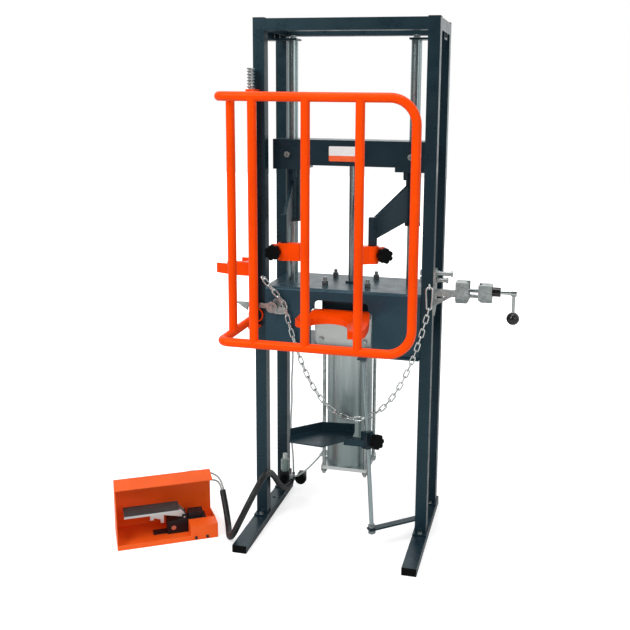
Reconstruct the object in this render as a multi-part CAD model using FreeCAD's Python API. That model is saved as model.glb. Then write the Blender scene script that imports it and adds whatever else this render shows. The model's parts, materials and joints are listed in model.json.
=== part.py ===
import FreeCAD, Part
import math
import os

# Pneumatic coil-spring compressor press. Millimetres, +Z up, +X to the right, +Y to the rear.
# The origin is on the floor under the press axis, midway between the two anchor holes in the feet.

V = FreeCAD.Vector
X = V(1, 0, 0)
Y = V(0, 1, 0)
Z = V(0, 0, 1)

# ---------------------------------------------------------------- driving dimensions

# frame of square tube
frame_width = 600.0          # over the posts
frame_depth = 272.0          # over the posts
frame_height = 1718.0        # floor to the top of the post caps
post_size = 38.0
post_wall = 2.5
cap_thickness = 3.0
cap_plug_depth = 14.0
cap_plug_fit = 0.2

# feet
foot_width = 48.0
foot_height = 25.0
foot_wall = 2.5
foot_front_overhang = 228.0
foot_rear_overhang = 20.0
anchor_hole_diameter = 12.0
base_plate_thickness = 5.0
base_plate_overhang = 18.0
base_bolt_offset = 9.0       # bolt axis from the face of the post
base_bolt_diameter = 8.0

# guide rods and the brackets that hold their tops
rod_radius = 17.0
rod_spacing = 414.0
rod_bolt_diameter = 12.0
rod_bolt_depth = 30.0
bracket_plate = 6.0
bracket_height = 22.0
bracket_half_width = 30.0
bracket_inner_reach = 20.0   # from the rod axis toward the middle

# main beam, folded from plate
beam_top = 850.0
beam_height = 218.0
beam_plate = 6.0
beam_front_stand = 6.0       # in front of the posts
beam_rear_inset = 20.0       # ahead of the rear faces of the posts
beam_bend_radius = 12.0
beam_lip = 8.0
beam_lug_width = 30.0
beam_lug_reach = 30.0
window_half_width = 104.0
window_bottom_margin = 18.0
window_top_margin = 38.0
window_upper_half_width = 91.0
window_shoulder = 66.0       # below the top of the beam
window_radius = 15.0

# air cylinder under the beam
cap_size = 166.0
top_cap_height = 82.0
bottom_cap_height = 12.0
end_cap_edge = 9.0
barrel_radius = 78.0
barrel_wall = 4.0
barrel_length = 554.0
tie_rod_radius = 6.0
tie_rod_offset = 73.0
tie_rod_end = 18.0
tie_rod_top = 28.0           # above the beam
tie_nut_height = 16.0
nut_height = 10.0
gland_radius = 20.0
gland_height = 12.0
port_diameter = 14.0
port_length = 18.0
lower_port_rise = 12.0       # port axis above the foot of the barrel
upper_port_rise = 24.0       # port axis above the foot of the top cap
elbow_length = 16.0
elbow_step = 1.0             # nipple inside the radius of the port
beam_cylinder_gap = 3.0      # around the cylinder in the beam's bottom plate

# piston and rod
piston_rod_radius = 10.0
piston_neck_radius = 8.0
piston_height = 36.0
piston_fit = 0.05
piston_lift = 182.0          # piston above the bottom cap as drawn
rod_joint_height = 1058.0

# crosshead that slides on the guide rods
crosshead_bottom = 1250.0
crosshead_height = 84.0
crosshead_half_depth = 62.0
crosshead_wall = 8.0
end_block_width = 104.0
end_block_drop = 15.0        # below the bar
bush_wall = 3.0
running_fit = 0.05
clamp_screw_diameter = 12.0
clamp_screw_land = 2.0       # metal left before the bush
stop_pin_diameter = 12.0
stop_pin_length = 26.0
stop_pin_inset = 14.0
stop_pin_place = 32.0        # from the end block's inner side

# swinging arms and their claws
arm_sleeve_wall = 5.0
arm_sleeve_length = 170.0
arm_end_play = 0.3
arm_collar_height = 10.0
arm_collar_wall = 6.0
arm_reach = 203.0
arm_plate = 10.0
arm_plate_root = 3.0         # plate inside the sleeve's outer face
arm_plate_drop = 39.0        # top of the plate below the top of the sleeve
arm_plate_inner_height = 120.0
arm_bar = 20.0
arm_bar_top = 1101.0
arm_bar_bottom = 1010.0
arm_plate_outer_height = 70.0
left_arm_angle = 8.6         # inward from straight ahead, degrees
right_arm_angle = 28.7
spigot_radius = 9.0
claw_height = 56.0
claw_hub_radius = 20.0
claw_reach = 58.0
claw_depth = 30.0
claw_groove = 14.0
claw_groove_start = 8.0      # beyond the hub
claw_web = 2.0               # groove floor past the middle of the jaw
claw_tip_radius = 10.0
claw_ear = 30.0              # knob axis from the spigot axis
claw_ear_end = 12.0          # beyond the knob axis
claw_ear_step = 4.0          # ear thinner than the jaw on each side
claw_ear_margin = 6.0        # ear lower than the jaw, above and below
claw_slit = 3.0
claw_stud_play = 0.2
claw_stud_end = 2.0
claw_knob_play = 0.3
left_claw_angle = 4.0        # claw direction, degrees from the X axis
right_claw_angle = 212.0

# star knobs
knob_radius = 25.0
knob_thickness = 20.0
knob_lobes = 7
knob_lobe_radius = 8.5
knob_stem_radius = 10.0
knob_stem_length = 10.0
knob_stud_radius = 5.0

# lower fork and its holder; the outline and the mouth are drawn from the middle of the bore
fork_x = -25.0
fork_reach = 110.0           # middle of the bore from the holder
fork_bore_radius = 66.0
fork_top = 779.0
fork_thickness = 26.0
fork_dish_radius = 104.0
fork_dish_drop = 17.0
fork_collar_wall = 18.0
fork_collar_height = 22.0
fork_outline = ((117, 110), (-71, 110), (-74, 42), (-99, 20), (-96, -34), (-83, -50), (70, -50),
                (70, -144), (137, -144), (149, -117), (146, -57), (139, -5))
fork_mouth = ((-54, -38), (-75, -72), (-75, -192), (101, -192), (101, -138), (107, -117), (93, -68),
              (66, 0), (0, 0))
holder_half_width = 96.0
holder_thickness = 12.0
holder_setback = 24.0        # behind the front of the beam
holder_height = 135.0
holder_foot = 20.0
holder_bolt_diameter = 10.0
holder_bolt_x = 74.0
holder_bolt_height = 36.0

# shelf for the foot of the strut, on its leaning rod
shelf_rod_radius = 7.0
shelf_rod_top_x = 81.0
shelf_rod_top_stand = 18.0   # in front of the beam
shelf_rod_top_rise = 18.0    # above the foot of the beam
shelf_rod_foot_x = 134.0
shelf_rod_foot_stand = 86.0
shelf_rod_foot_height = 52.0
shelf_bar_width = 25.0
shelf_bar_thickness = 6.0
shelf_bar_height = 66.0
shelf_height = 365.0
shelf_thickness = 4.0
shelf_wall_height = 25.0
shelf_arm_height = 22.0
shelf_arm_width = 24.0
shelf_arm_overlap = 20.0     # under the plate
shelf_block = 30.0
shelf_block_length = 56.0
shelf_knob_turn = -35.0
shelf_knob_boss = 8.0
shelf_fit = 0.1
rod_nut_play = 0.2
shelf_knob_play = 0.3
shelf_outline = ((-138, -132), (-24, -144), (55, -54), (48, 17), (-64, 5), (-151, -82))   # from the beam's front

# guard cage
guard_tube_radius = 13.75
guard_bar_radius = 13.5
guard_tube_wall = 2.0
guard_hinge_inset = 3.0      # from the side of the frame
guard_hinge_stand = 29.0     # in front of the posts
guard_depth = 295.0
guard_right_inset = 14.0
guard_top = 1470.0
guard_bottom = 742.0
guard_bar_pitch = 158.5
guard_bars = 3
guard_side_bar = 185.0       # from the hinge along the side
guard_corner_radius = 75.0
guard_side_radius = 27.0
guard_pin_radius = 8.0
guard_pin_fit = 0.3
guard_pin_head = 4.0
guard_pin_foot = 6.0
guard_pin_foot_wall = 4.0
guard_bracket_thickness = 8.0
guard_bracket_width = 36.0
guard_low_gap = 0.5
guard_high_gap = 2.0
guard_ring_radius = 24.0
guard_ring_wire = 2.5
guard_ring_rise = 6.0        # ring centre above the lower rail
guard_hinge_drop = 12.0      # hinge tube below the lower rail
spring_wire_radius = 2.0
spring_turns = 6
spring_length = 62.0
spring_radius = 10.5

# side vise for the strut body, on the right front post
vise_axis_z = 871.0
vise_plate_thickness = 8.0
vise_plate_bottom = 785.0
vise_plate_height = 150.0
vise_plate_taper = 28.0
vise_arm_length = 64.0
vise_arm_height = 22.0
vise_arm_width = 16.0
vise_arm_drop = 2.0          # top of the arm below the screw
vise_brace = 12.0
vise_brace_height = 19.0
vise_brace_foot = 31.0       # above the foot of the plate
jaw_length = 43.0
jaw_width = 50.0
jaw_height = 70.0
jaw_vee_depth = 15.0
jaw_vee_edge = 6.0
jaw_lift = 6.0               # jaw centre above the middle of the arm
jaw_chamfer = 16.0
jaw_opening = 29.0
moving_jaw_height = 58.0
jaw_bore_play = 0.3
vise_guide_radius = 6.0
vise_guide_drop = 18.0       # below the screw
vise_guide_length = 53.0     # beyond the fixed jaw
vise_screw_radius = 6.0
vise_screw_seat = 10.0
vise_screw_length = 136.0
vise_nut_play = 0.3
vise_nut_radius = 15.0
vise_nut_length = 26.0
vise_shaft_radius = 7.0
vise_shaft_length = 50.0
vise_head_radius = 11.0
vise_head_length = 18.0
vise_handle_radius = 5.0
vise_handle_length = 83.0
vise_ball_radius = 20.5
vise_bolt_radius = 5.0
vise_spool_radius = 7.0
vise_spool_rim = 9.5
vise_spool_rim_length = 6.0
vise_bolt_nut = 8.0
vise_bolt_head = 6.5
vise_bolt_heights = (921.0, 899.0)
vise_bolt_reach = (52.0, 38.0)

# hook clamp on the left of the beam
hook_bar_thickness = 8.0
hook_bar_height = 17.0
hook_centre_z = 784.0
hook_boss_inset = 68.0       # boss axis from the side of the frame
hook_boss_radius = 19.0
hook_boss_depth = 26.0
hook_pivot_radius = 7.0
hook_pivot_depth = 32.0
hook_jaw_length = 42.0       # beyond the boss axis
hook_jaw_height = 52.0
hook_jaw_depth = 6.5
hook_jaw_edge = 8.0
hook_reach = 134.0           # tip from the boss axis
hook_crescent = 44.0
hook_blade_height = 28.0
hook_bite_radius = 28.0
hook_bite_drop = 32.0

# spare fork on the left front post
spare_fork_z = 905.0
spare_fork_reach = 143.0
spare_fork_width = 90.0
spare_fork_setback = 14.0    # from the middle of the post toward the rear
spare_fork_thickness = 12.0
spare_fork_rise = 46.0
spare_fork_root = 66.0
spare_fork_throat = 34.0
spare_fork_throat_half = 14.0
spare_fork_tine = 26.0
spare_fork_step = 26.0       # rear tine shorter than the front one
spare_fork_cap = 72.0
spare_fork_cap_bite = 40.0

# chain and snap hook
link_wire = 4.5
link_inner_length = 25.0
link_inner_width = 9.0
link_slack = 0.6
link_corner_play = 0.01
chain_links = 44
chain_stand = 23.0           # in front of the posts
chain_eye_inset = 36.0
chain_eye_z = 880.0
chain_peg_x = 29.0           # from the boss axis of the hook clamp
chain_peg_z = 786.0          # the stud that the chain is draped over
chain_over_x = 13.0
chain_over_z = 13.0
chain_peg_radius = 4.0
chain_peg_reach = 26.0
eye_radius = 8.0
eye_wire = 2.5
snap_wire = 3.0
snap_length = 72.0
snap_small_radius = 7.5
snap_big_radius = 11.0
snap_corner_play = 0.5
snap_eye_inset = 8.0
snap_eye_z = 884.0
snap_gate_low = 16.0         # gate ends, up from the hook's lower end
snap_gate_high = 48.0
snap_gate_gap = 0.4
snap_gate_radius = 2.6       # bar of the gate, thinner than its hub

# air preparation unit on the left rear post
unit_inset = 36.0            # from the side of the frame
unit_width = 40.0
unit_depth = 40.0
unit_bottom = 44.0
unit_body_height = 56.0
unit_edge = 6.0
bowl_radius = 15.5
bowl_height = 46.0
bowl_edge = 6.0
bowl_neck_radius = 8.0
bowl_neck_height = 20.0
unit_knob_radius = 15.0
unit_knob_length = 14.0
unit_knob_edge = 2.0
knob_play = 0.3
valve_width = 26.0
valve_height = 36.0
valve_rise = 10.0            # middle of the valve above the ports of the unit
valve_gap = 34.0
valve_knob_radius = 20.0
valve_knob_length = 16.0
valve_knob_edge = 3.0
nipple_radius = 7.0
tee_radius = 10.0
tee_reach = 13.0             # middle of the tee from the side of the unit
outlet_radius = 5.5
outlet_rise = 12.0
hose_turn = V(-0.03, -0.99, -0.11)   # way out of the tee for the hose
hose_stub = 18.0               # beyond the tee's ball
outlet_turn = V(0.28, -0.80, 0.53)
elbow_turn = V(-0.62, 0.08, -0.78)

# foot pedal box, standing on the floor at an angle
pedal_corner_x = -669.0
pedal_corner_y = -456.0
pedal_angle = 31.4
pedal_length = 330.0
pedal_depth = 166.0
pedal_height = 176.0
pedal_sheet = 2.5
pedal_hood_depth = 62.0
pedal_hood_drop = 14.0
pedal_front_lip = 17.0
pedal_box_length = 92.0
pedal_box_depth = 56.0
pedal_box_height = 50.0
pedal_end_drop = 20.0        # rear of the right end below the top of the cover
pedal_screw_radius = 5.0
pedal_screw_head = 3.0
pedal_screw_height = 9.0
pedal_screw_places = (18.0, 56.0)
pedal_side_screw_height = 14.0
tread_length = 184.0
tread_width = 72.0
tread_thickness = 5.0
tread_start = 26.0
tread_height = 92.0
tread_pivot = 226.0
tread_pivot_height = 58.0
tread_edge = 8.0
tread_apron = 3.0
tread_cheek = 4.0
tread_cheek_sink = 2.0       # cheeks inside the plate
tread_cheek_foot = 5.0
tread_cheek_head = 14.0
tread_hanger = (68.0, 114.0) # hanging plate, from the pivot
tread_hanger_drop = 14.0     # foot of the hanging plate below the pivot
tread_hanger_notch = 12.0
tread_hub_radius = 7.0
tread_hub_play = 0.5
tread_pin_radius = 3.0
ear_thickness = 5.0
ear_half_width = 8.0
ear_sink = 2.0
valve_body_length = 132.0
valve_body_width = 46.0
valve_body_height = 46.0
pedal_valve_start = 168.0
pedal_valve_back = 62.0
pilot_start = 72.0           # from the left end of the valve body
pilot_length = 50.0
pilot_inset = 4.0
pilot_height = 20.0
pedal_stand_length = 46.0
pedal_stand_inset = 8.0
pedal_stand_height = 4.0
pedal_ports = ((225.0, 138.0), (250.0, 100.0))
pedal_port_reach = 14.0
pedal_port_wall = 2.0

# cords
hose_radius = 10.5
hose_neck_radius = 8.0       # of the tee's stub that the hose is pushed against
tube_radius = 3.0
tube_gap = 0.6
tube_lead = 40.0
lower_tube_lead = 27.0
outlet_lead = 20.0
hose_lead = 44.0
arc_share = 0.45             # share of the shorter run used by an arc

# proportions of fasteners, in diameters
washer_share = 0.2
hex_across_share = 1.6
hex_height_share = 0.65
socket_head_share = 0.8
socket_start_share = 0.45
nut_across_share = 3.0       # in radii of the rod
fitting_across_share = 1.3

# ---------------------------------------------------------------- values that follow

post_x = (frame_width - post_size) / 2
post_y = (frame_depth - post_size) / 2
inner_x = frame_width / 2 - post_size
front_y = -frame_depth / 2
post_bottom = foot_height + base_plate_thickness
post_top = frame_height - cap_thickness
rail_bottom = post_top - post_size
rod_x = rod_spacing / 2
rod_top = rail_bottom - bracket_height
beam_front = front_y - beam_front_stand
beam_rear = frame_depth / 2 - beam_rear_inset
beam_bottom = beam_top - beam_height
cap_top = beam_top - beam_plate
barrel_top = cap_top - top_cap_height
barrel_bottom = barrel_top - barrel_length
cylinder_bottom = barrel_bottom - bottom_cap_height
bore_radius = barrel_radius - barrel_wall
crosshead_top = crosshead_bottom + crosshead_height
block_bottom = crosshead_bottom - end_block_drop
bush_inner = rod_radius + running_fit
bush_outer = bush_inner + bush_wall
sleeve_inner = bush_outer + running_fit
sleeve_outer = sleeve_inner + arm_sleeve_wall
sleeve_top = block_bottom - arm_end_play
sleeve_bottom = sleeve_top - arm_sleeve_length
collar_top = sleeve_bottom - arm_end_play
collar_bottom = collar_top - arm_collar_height
arm_plate_top = sleeve_top - arm_plate_drop
claw_top = arm_bar_bottom - arm_end_play
claw_bottom = claw_top - claw_height

fork_centre_y = beam_front + holder_setback - fork_reach
holder_face_y = beam_front + holder_setback
shelf_rod_top = V(shelf_rod_top_x, beam_front - shelf_rod_top_stand, beam_bottom + shelf_rod_top_rise)
shelf_rod_bottom = V(shelf_rod_foot_x, beam_front - shelf_rod_foot_stand, shelf_rod_foot_height)
guard_hinge_x = guard_hinge_inset - frame_width / 2
guard_hinge_y = front_y - guard_hinge_stand
guard_right = frame_width / 2 - guard_right_inset
guard_front = guard_hinge_y - guard_depth
vise_y = -post_y
hook_boss_x = hook_boss_inset - frame_width / 2
chain_y = front_y - chain_stand
chain_eye = V(chain_eye_inset - frame_width / 2, chain_y, chain_eye_z)
chain_peg = V(hook_boss_x + chain_peg_x, chain_y, chain_peg_z)
chain_over_peg = V(chain_over_x, 0, chain_over_z)
snap_eye = V(frame_width / 2 - snap_eye_inset, chain_y, snap_eye_z)
unit_x = unit_inset - frame_width / 2

lower_port = V(-barrel_radius, 0, barrel_bottom + lower_port_rise)
plugged_port = V(barrel_radius, 0, barrel_bottom + lower_port_rise)
upper_port = V(-cap_size / 2, 0, barrel_top + upper_port_rise)

parts = {}


# ---------------------------------------------------------------- helpers

def box(x0, x1, y0, y1, z0, z1):
    return Part.makeBox(x1 - x0, y1 - y0, z1 - z0, V(x0, y0, z0))


def rod(start, axis, radius, length):
    return Part.makeCylinder(radius, length, start, axis)


def pipe(start, axis, outer, inner, length):
    return rod(start, axis, outer, length).cut(rod(start, axis, inner, length))


def prism(points, direction):
    wire = Part.makePolygon(list(points) + [points[0]])
    return Part.Face(wire).extrude(direction)


def hexagon(start, axis, across_flats, height):
    radius = across_flats / math.sqrt(3)
    points = [V(radius * math.cos(k * math.pi / 3), radius * math.sin(k * math.pi / 3), 0) for k in range(6)]
    shape = prism(points, V(0, 0, height))
    shape.Placement = FreeCAD.Placement(start, FreeCAD.Rotation(Z, axis))
    return shape


def hex_bolt(seat, axis, diameter, length):
    """A bolt whose head stands on the seat; the shank runs the other way."""
    washer_height = washer_share * diameter
    washer = rod(seat, axis, diameter, washer_height)
    head = hexagon(seat + axis * washer_height, axis, hex_across_share * diameter, hex_height_share * diameter)
    shank = rod(seat, -axis, diameter / 2, length)
    return washer.fuse([head, shank]).removeSplitter()


def socket_screw(seat, axis, diameter, length):
    head = rod(seat, axis, socket_head_share * diameter, diameter)
    socket = hexagon(seat + axis * socket_start_share * diameter, axis, socket_head_share * diameter, diameter)
    shank = rod(seat, -axis, diameter / 2, length)
    return head.cut(socket).fuse(shank).removeSplitter()


def star_knob(seat, axis):
    """A lobed knob with its stem standing on the seat."""
    lobe_ring = knob_radius - knob_lobe_radius
    body = Part.makeCylinder(lobe_ring, knob_thickness)
    for k in range(knob_lobes):
        angle = 2 * math.pi * k / knob_lobes
        centre = V(lobe_ring * math.cos(angle), lobe_ring * math.sin(angle), 0)
        body = body.fuse(Part.makeCylinder(knob_lobe_radius, knob_thickness, centre))
    body = body.removeSplitter()
    body.translate(V(0, 0, knob_stem_length))
    body = body.fuse(Part.makeCylinder(knob_stem_radius, knob_stem_length)).removeSplitter()
    body.Placement = FreeCAD.Placement(seat, FreeCAD.Rotation(Z, axis))
    return body


def tube_path(points):
    """Straight runs joined by tangent arcs, each as large as its two runs allow."""
    edges = []
    start = points[0]
    radii = []
    for before, here, after in zip(points, points[1:], points[2:]):
        back = (before - here).normalize()
        ahead = (after - here).normalize()
        half_turn = (math.pi - back.getAngle(ahead)) / 2
        reach = arc_share * min((before - here).Length, (after - here).Length)
        radius = reach / math.tan(half_turn)
        radii.append(radius)
        first = here + back * reach
        last = here + ahead * reach
        bisector = (back + ahead).normalize()
        middle = here + bisector * (radius / math.cos(half_turn) - radius)
        edges.append(Part.LineSegment(start, first).toShape())
        edges.append(Part.Arc(first, middle, last).toShape())
        start = last
    edges.append(Part.LineSegment(start, points[-1]).toShape())
    return Part.Wire(edges), radii


def swept_tube(name, points, radius):
    path, radii = tube_path(points)
    tangent = (points[1] - points[0]).normalize()
    section = Part.Wire(Part.makeCircle(radius, points[0], tangent))
    shape = path.makePipeShell([section], True, False)
    expected = math.pi * radius ** 2 * path.Length
    print(name, "length", round(path.Length, 1), "volume ratio", round(shape.Volume / expected, 4),
          "radii", [round(r) for r in radii])
    return shape


def closed_wire_loop(points, radius):
    """A closed loop of round wire through rounded corners given as (point, corner radius)."""
    count = len(points)
    edges = []
    for k in range(count):
        here, bend = points[k]
        before = points[k - 1][0]
        after = points[(k + 1) % count][0]
        back = (before - here).normalize()
        ahead = (after - here).normalize()
        half_turn = (math.pi - back.getAngle(ahead)) / 2
        reach = bend * math.tan(half_turn)
        bisector = (back + ahead).normalize()
        middle = here + bisector * (bend / math.cos(half_turn) - bend)
        edges.append((here + back * reach, middle, here + ahead * reach))
    segments = []
    for k in range(count):
        first, middle, last = edges[k]
        following = edges[(k + 1) % count][0]
        segments.append(Part.Arc(first, middle, last).toShape())
        if (following - last).Length > 0.01:
            segments.append(Part.LineSegment(last, following).toShape())
    path = Part.Wire(segments)
    tangent = edges[0][0] - edges[-1][2]
    section = Part.Wire(Part.makeCircle(radius, edges[0][0], tangent))
    return path.makePipeShell([section], True, False)


def add(name, *shapes):
    """Put the solids of the shapes in the node of that name."""
    for shape in shapes:
        parts.setdefault(name, []).extend(shape.Solids)


def mirrored(shape):
    return shape.mirror(V(0, 0, 0), X)


# ---------------------------------------------------------------- frame

def square_tube(x0, x1, y0, y1, z0, z1, wall, axis):
    outer = box(x0, x1, y0, y1, z0, z1)
    grow = [0 if axis == k else wall for k in "xyz"]
    inner = box(x0 + grow[0], x1 - grow[0], y0 + grow[1], y1 - grow[1], z0 + grow[2], z1 - grow[2])
    return outer.cut(inner)


def post(x, y):
    half = post_size / 2
    return square_tube(x - half, x + half, y - half, y + half, post_bottom, post_top, post_wall, "z")


def post_cap(x, y):
    half = post_size / 2
    plug = half - post_wall - cap_plug_fit
    top = box(x - half, x + half, y - half, y + half, post_top, frame_height)
    return top.fuse(box(x - plug, x + plug, y - plug, y + plug, post_top - cap_plug_depth, post_top))


def foot(x):
    half = foot_width / 2
    rear = frame_depth / 2 + foot_rear_overhang
    body = square_tube(x - half, x + half, front_y - foot_front_overhang, rear, 0, foot_height, foot_wall, "y")
    body = body.cut(rod(V(x, 0, 0), Z, anchor_hole_diameter / 2, foot_height))
    for bolt_y in base_bolt_places():
        body = body.cut(rod(V(x, bolt_y, foot_height - foot_wall), Z, base_bolt_diameter / 2, foot_wall))
    return body


def foot_cap(x, face_y, outward):
    half = foot_width / 2
    in_x = half - foot_wall - cap_plug_fit
    in_z = foot_wall + cap_plug_fit
    y0, y1 = sorted((face_y, face_y + outward * cap_thickness))
    p0, p1 = sorted((face_y, face_y - outward * cap_plug_depth))
    cover = box(x - half, x + half, y0, y1, 0, foot_height)
    return cover.fuse(box(x - in_x, x + in_x, p0, p1, in_z, foot_height - in_z))


def base_bolt_places():
    offset = post_size / 2 + base_bolt_offset
    return [side * post_y + way * offset for side in (-1, 1) for way in (-1, 1)]


def base_plate(x, y):
    half = foot_width / 2
    reach = post_size / 2 + base_plate_overhang
    plate = box(x - half, x + half, y - reach, y + reach, foot_height, post_bottom)
    for way in (-1, 1):
        place = V(x, y + way * (post_size / 2 + base_bolt_offset), foot_height)
        plate = plate.cut(rod(place, Z, base_bolt_diameter / 2, base_plate_thickness))
    return plate


def top_rails():
    half = post_size / 2
    rails = []
    for y in (-post_y, post_y):
        rails.append(square_tube(-inner_x, inner_x, y - half, y + half, rail_bottom, post_top, post_wall, "x"))
    inner_y = frame_depth / 2 - post_size
    for x in (-post_x, post_x):
        rails.append(square_tube(x - half, x + half, -inner_y, inner_y, rail_bottom, post_top, post_wall, "y"))
    return rails


def rod_bracket():
    inside = rod_x - bracket_inner_reach
    outside = frame_width / 2
    half = bracket_half_width
    plate = box(inside, outside, -half, half, rod_top, rod_top + bracket_plate)
    for side in (-1, 1):
        y0, y1 = sorted((side * half, side * (half - bracket_plate)))
        plate = plate.fuse(box(inner_x, outside, y0, y1, rod_top, rail_bottom))
    plate = plate.cut(rod(V(rod_x, 0, rod_top), Z, rod_bolt_diameter / 2, bracket_plate))
    return plate.removeSplitter()


def guide_rod():
    shaft = rod(V(rod_x, 0, beam_top), Z, rod_radius, rod_top - beam_top)
    for start in (beam_top, rod_top - rod_bolt_depth):
        shaft = shaft.cut(rod(V(rod_x, 0, start), Z, rod_bolt_diameter / 2, rod_bolt_depth))
    return shaft


def right_front_post():
    shape = post(post_x, -post_y)
    for z in vise_bolt_heights:
        shape = shape.cut(rod(V(0, vise_y, z), X, vise_bolt_radius, frame_width))
    return shape


def build_frame():
    corners = [(x, y) for x in (-post_x, post_x) for y in (-post_y, post_y)]
    add("feet", foot(-post_x), foot(post_x))
    rear = frame_depth / 2 + foot_rear_overhang
    front = front_y - foot_front_overhang
    add("tube_end_plugs", *[foot_cap(x, y, way) for x in (-post_x, post_x) for y, way in ((front, -1), (rear, 1))])
    add("posts", post(-post_x, -post_y), right_front_post(), post(-post_x, post_y), post(post_x, post_y))
    add("post_base_plates", *[base_plate(x, y) for x, y in corners])
    length = base_plate_thickness + foot_wall
    add("frame_bolts", *[hex_bolt(V(x, y, post_bottom), Z, base_bolt_diameter, length)
                         for x in (-post_x, post_x) for y in base_bolt_places()])
    add("tube_end_plugs", *[post_cap(x, y) for x, y in corners])
    add("top_rails", *top_rails())
    add("rod_brackets", rod_bracket(), mirrored(rod_bracket()))
    add("guide_rods", guide_rod(), mirrored(guide_rod()))
    upper = hex_bolt(V(rod_x, 0, rod_top + bracket_plate), Z, rod_bolt_diameter, bracket_plate + rod_bolt_depth)
    lower = hex_bolt(V(rod_x, 0, beam_top - beam_plate), -Z, rod_bolt_diameter, beam_plate + rod_bolt_depth)
    add("frame_bolts", upper, lower, mirrored(upper), mirrored(lower))


# ---------------------------------------------------------------- main beam

def rounded_window(half_width, z0, z1):
    hole = box(-half_width, half_width, beam_front, beam_front + beam_plate, z0, z1)
    corners = [e for e in hole.Edges if abs(e.tangentAt(e.FirstParameter).dot(Y)) > 0.9]
    return hole.makeFillet(window_radius, corners)


def build_beam():
    half = inner_x
    body = box(-half, half, beam_front, beam_rear, beam_bottom, beam_top)
    outer = [e for e in body.Edges if abs(e.tangentAt(e.FirstParameter).dot(X)) > 0.9
             and abs(e.CenterOfMass.y - beam_front) < 0.1]
    body = body.makeFillet(beam_bend_radius, outer)
    hollow = box(-half + beam_plate, half - beam_plate, beam_front + beam_plate, beam_rear,
                 beam_bottom + beam_plate, beam_top - beam_plate)
    inner = [e for e in hollow.Edges if abs(e.tangentAt(e.FirstParameter).dot(X)) > 0.9
             and abs(e.CenterOfMass.y - beam_front - beam_plate) < 0.1]
    body = body.cut(hollow.makeFillet(beam_bend_radius - beam_plate, inner))
    sill = beam_bottom + window_bottom_margin
    body = body.cut(rounded_window(window_half_width, sill, beam_top - window_shoulder))
    body = body.cut(rounded_window(window_upper_half_width, sill, beam_top - window_top_margin))
    opening = cap_size / 2 + beam_cylinder_gap
    body = body.cut(box(-opening, opening, -opening, opening, beam_bottom, beam_bottom + beam_plate))
    lip_y = beam_front - beam_lip
    body = body.fuse(box(-half, half, lip_y, beam_front + beam_bend_radius, beam_bottom, beam_bottom + beam_plate))
    lug_half = beam_lug_width / 2
    lug = box(shelf_rod_top.x - lug_half, shelf_rod_top.x + lug_half,
              beam_front - beam_lug_reach - lug_half, beam_front, beam_bottom, beam_bottom + beam_plate)
    body = body.fuse(lug)
    for x in (-rod_x, rod_x):
        body = body.cut(rod(V(x, 0, cap_top), Z, rod_bolt_diameter / 2, beam_plate))
    for x, y in tie_rod_places():
        body = body.cut(rod(V(x, y, cap_top), Z, tie_rod_radius, beam_plate))
    body = body.cut(rod(V(0, 0, cap_top), Z, gland_radius, beam_plate))
    body = body.cut(shelf_rod_shape())
    add("main_beam", body.removeSplitter())


# ---------------------------------------------------------------- air cylinder

def tie_rod_places():
    return [(x, y) for x in (-tie_rod_offset, tie_rod_offset) for y in (-tie_rod_offset, tie_rod_offset)]


def end_cap(z0, z1):
    half = cap_size / 2
    cap = box(-half, half, -half, half, z0, z1)
    edges = [e for e in cap.Edges if abs(e.tangentAt(e.FirstParameter).dot(Z)) > 0.9]
    cap = cap.makeFillet(end_cap_edge, edges)
    for x, y in tie_rod_places():
        cap = cap.cut(rod(V(x, y, z0), Z, tie_rod_radius, z1 - z0))
    return cap


def build_cylinder():
    top = end_cap(barrel_top, cap_top).fuse(rod(V(0, 0, cap_top), Z, gland_radius, gland_height))
    top = top.cut(rod(V(0, 0, barrel_top), Z, piston_rod_radius + running_fit, top_cap_height + gland_height))
    add("cylinder_end_caps", top.removeSplitter(), end_cap(cylinder_bottom, barrel_bottom))
    add("cylinder_barrel", pipe(V(0, 0, barrel_bottom), Z, barrel_radius, bore_radius, barrel_length))
    low = cylinder_bottom - tie_rod_end
    high = beam_top + tie_rod_top
    add("tie_rods", *[rod(V(x, y, low), Z, tie_rod_radius, high - low) for x, y in tie_rod_places()])
    nuts = []
    for x, y in tie_rod_places():
        for z, tall in ((beam_top, tie_nut_height), (cylinder_bottom - nut_height, nut_height)):
            nut = hexagon(V(x, y, z), Z, nut_across_share * tie_rod_radius, tall)
            nuts.append(nut.cut(rod(V(x, y, z), Z, tie_rod_radius, tall)))
    add("hex_nuts", *nuts)
    shell = rod(V(0, 0, barrel_bottom), Z, barrel_radius, barrel_length)
    top_block = end_cap(barrel_top, cap_top)
    lower = elbow(lower_port, -X, elbow_turn).cut(shell)
    add("air_fittings", lower, fitting(upper_port, -X).cut(top_block), fitting(plugged_port, X).cut(shell))
    rod_bottom = barrel_bottom + piston_lift
    piston = rod(V(0, 0, rod_bottom), Z, bore_radius - piston_fit, piston_height)
    add("piston", piston.cut(rod(V(0, 0, rod_bottom), Z, piston_rod_radius, piston_height)))
    shaft = rod(V(0, 0, rod_bottom), Z, piston_rod_radius, rod_joint_height - rod_bottom)
    extension = rod(V(0, 0, rod_joint_height), Z, piston_rod_radius, crosshead_bottom - rod_joint_height)
    neck = rod(V(0, 0, crosshead_bottom), Z, piston_neck_radius, crosshead_wall)
    across = nut_across_share * piston_neck_radius
    nut = hexagon(V(0, 0, crosshead_bottom + crosshead_wall), Z, across, nut_height)
    add("piston_rod", shaft, extension.fuse([neck, nut]).removeSplitter())


def fitting(start, axis):
    """A hexagon screw-in fitting; it starts a little inside its seat's round face."""
    inset = port_diameter / 2
    base = hexagon(start - axis * inset, axis, fitting_across_share * port_diameter, inset + port_length / 2)
    return base.fuse(rod(start, axis, port_diameter / 2, port_length)).removeSplitter()


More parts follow.
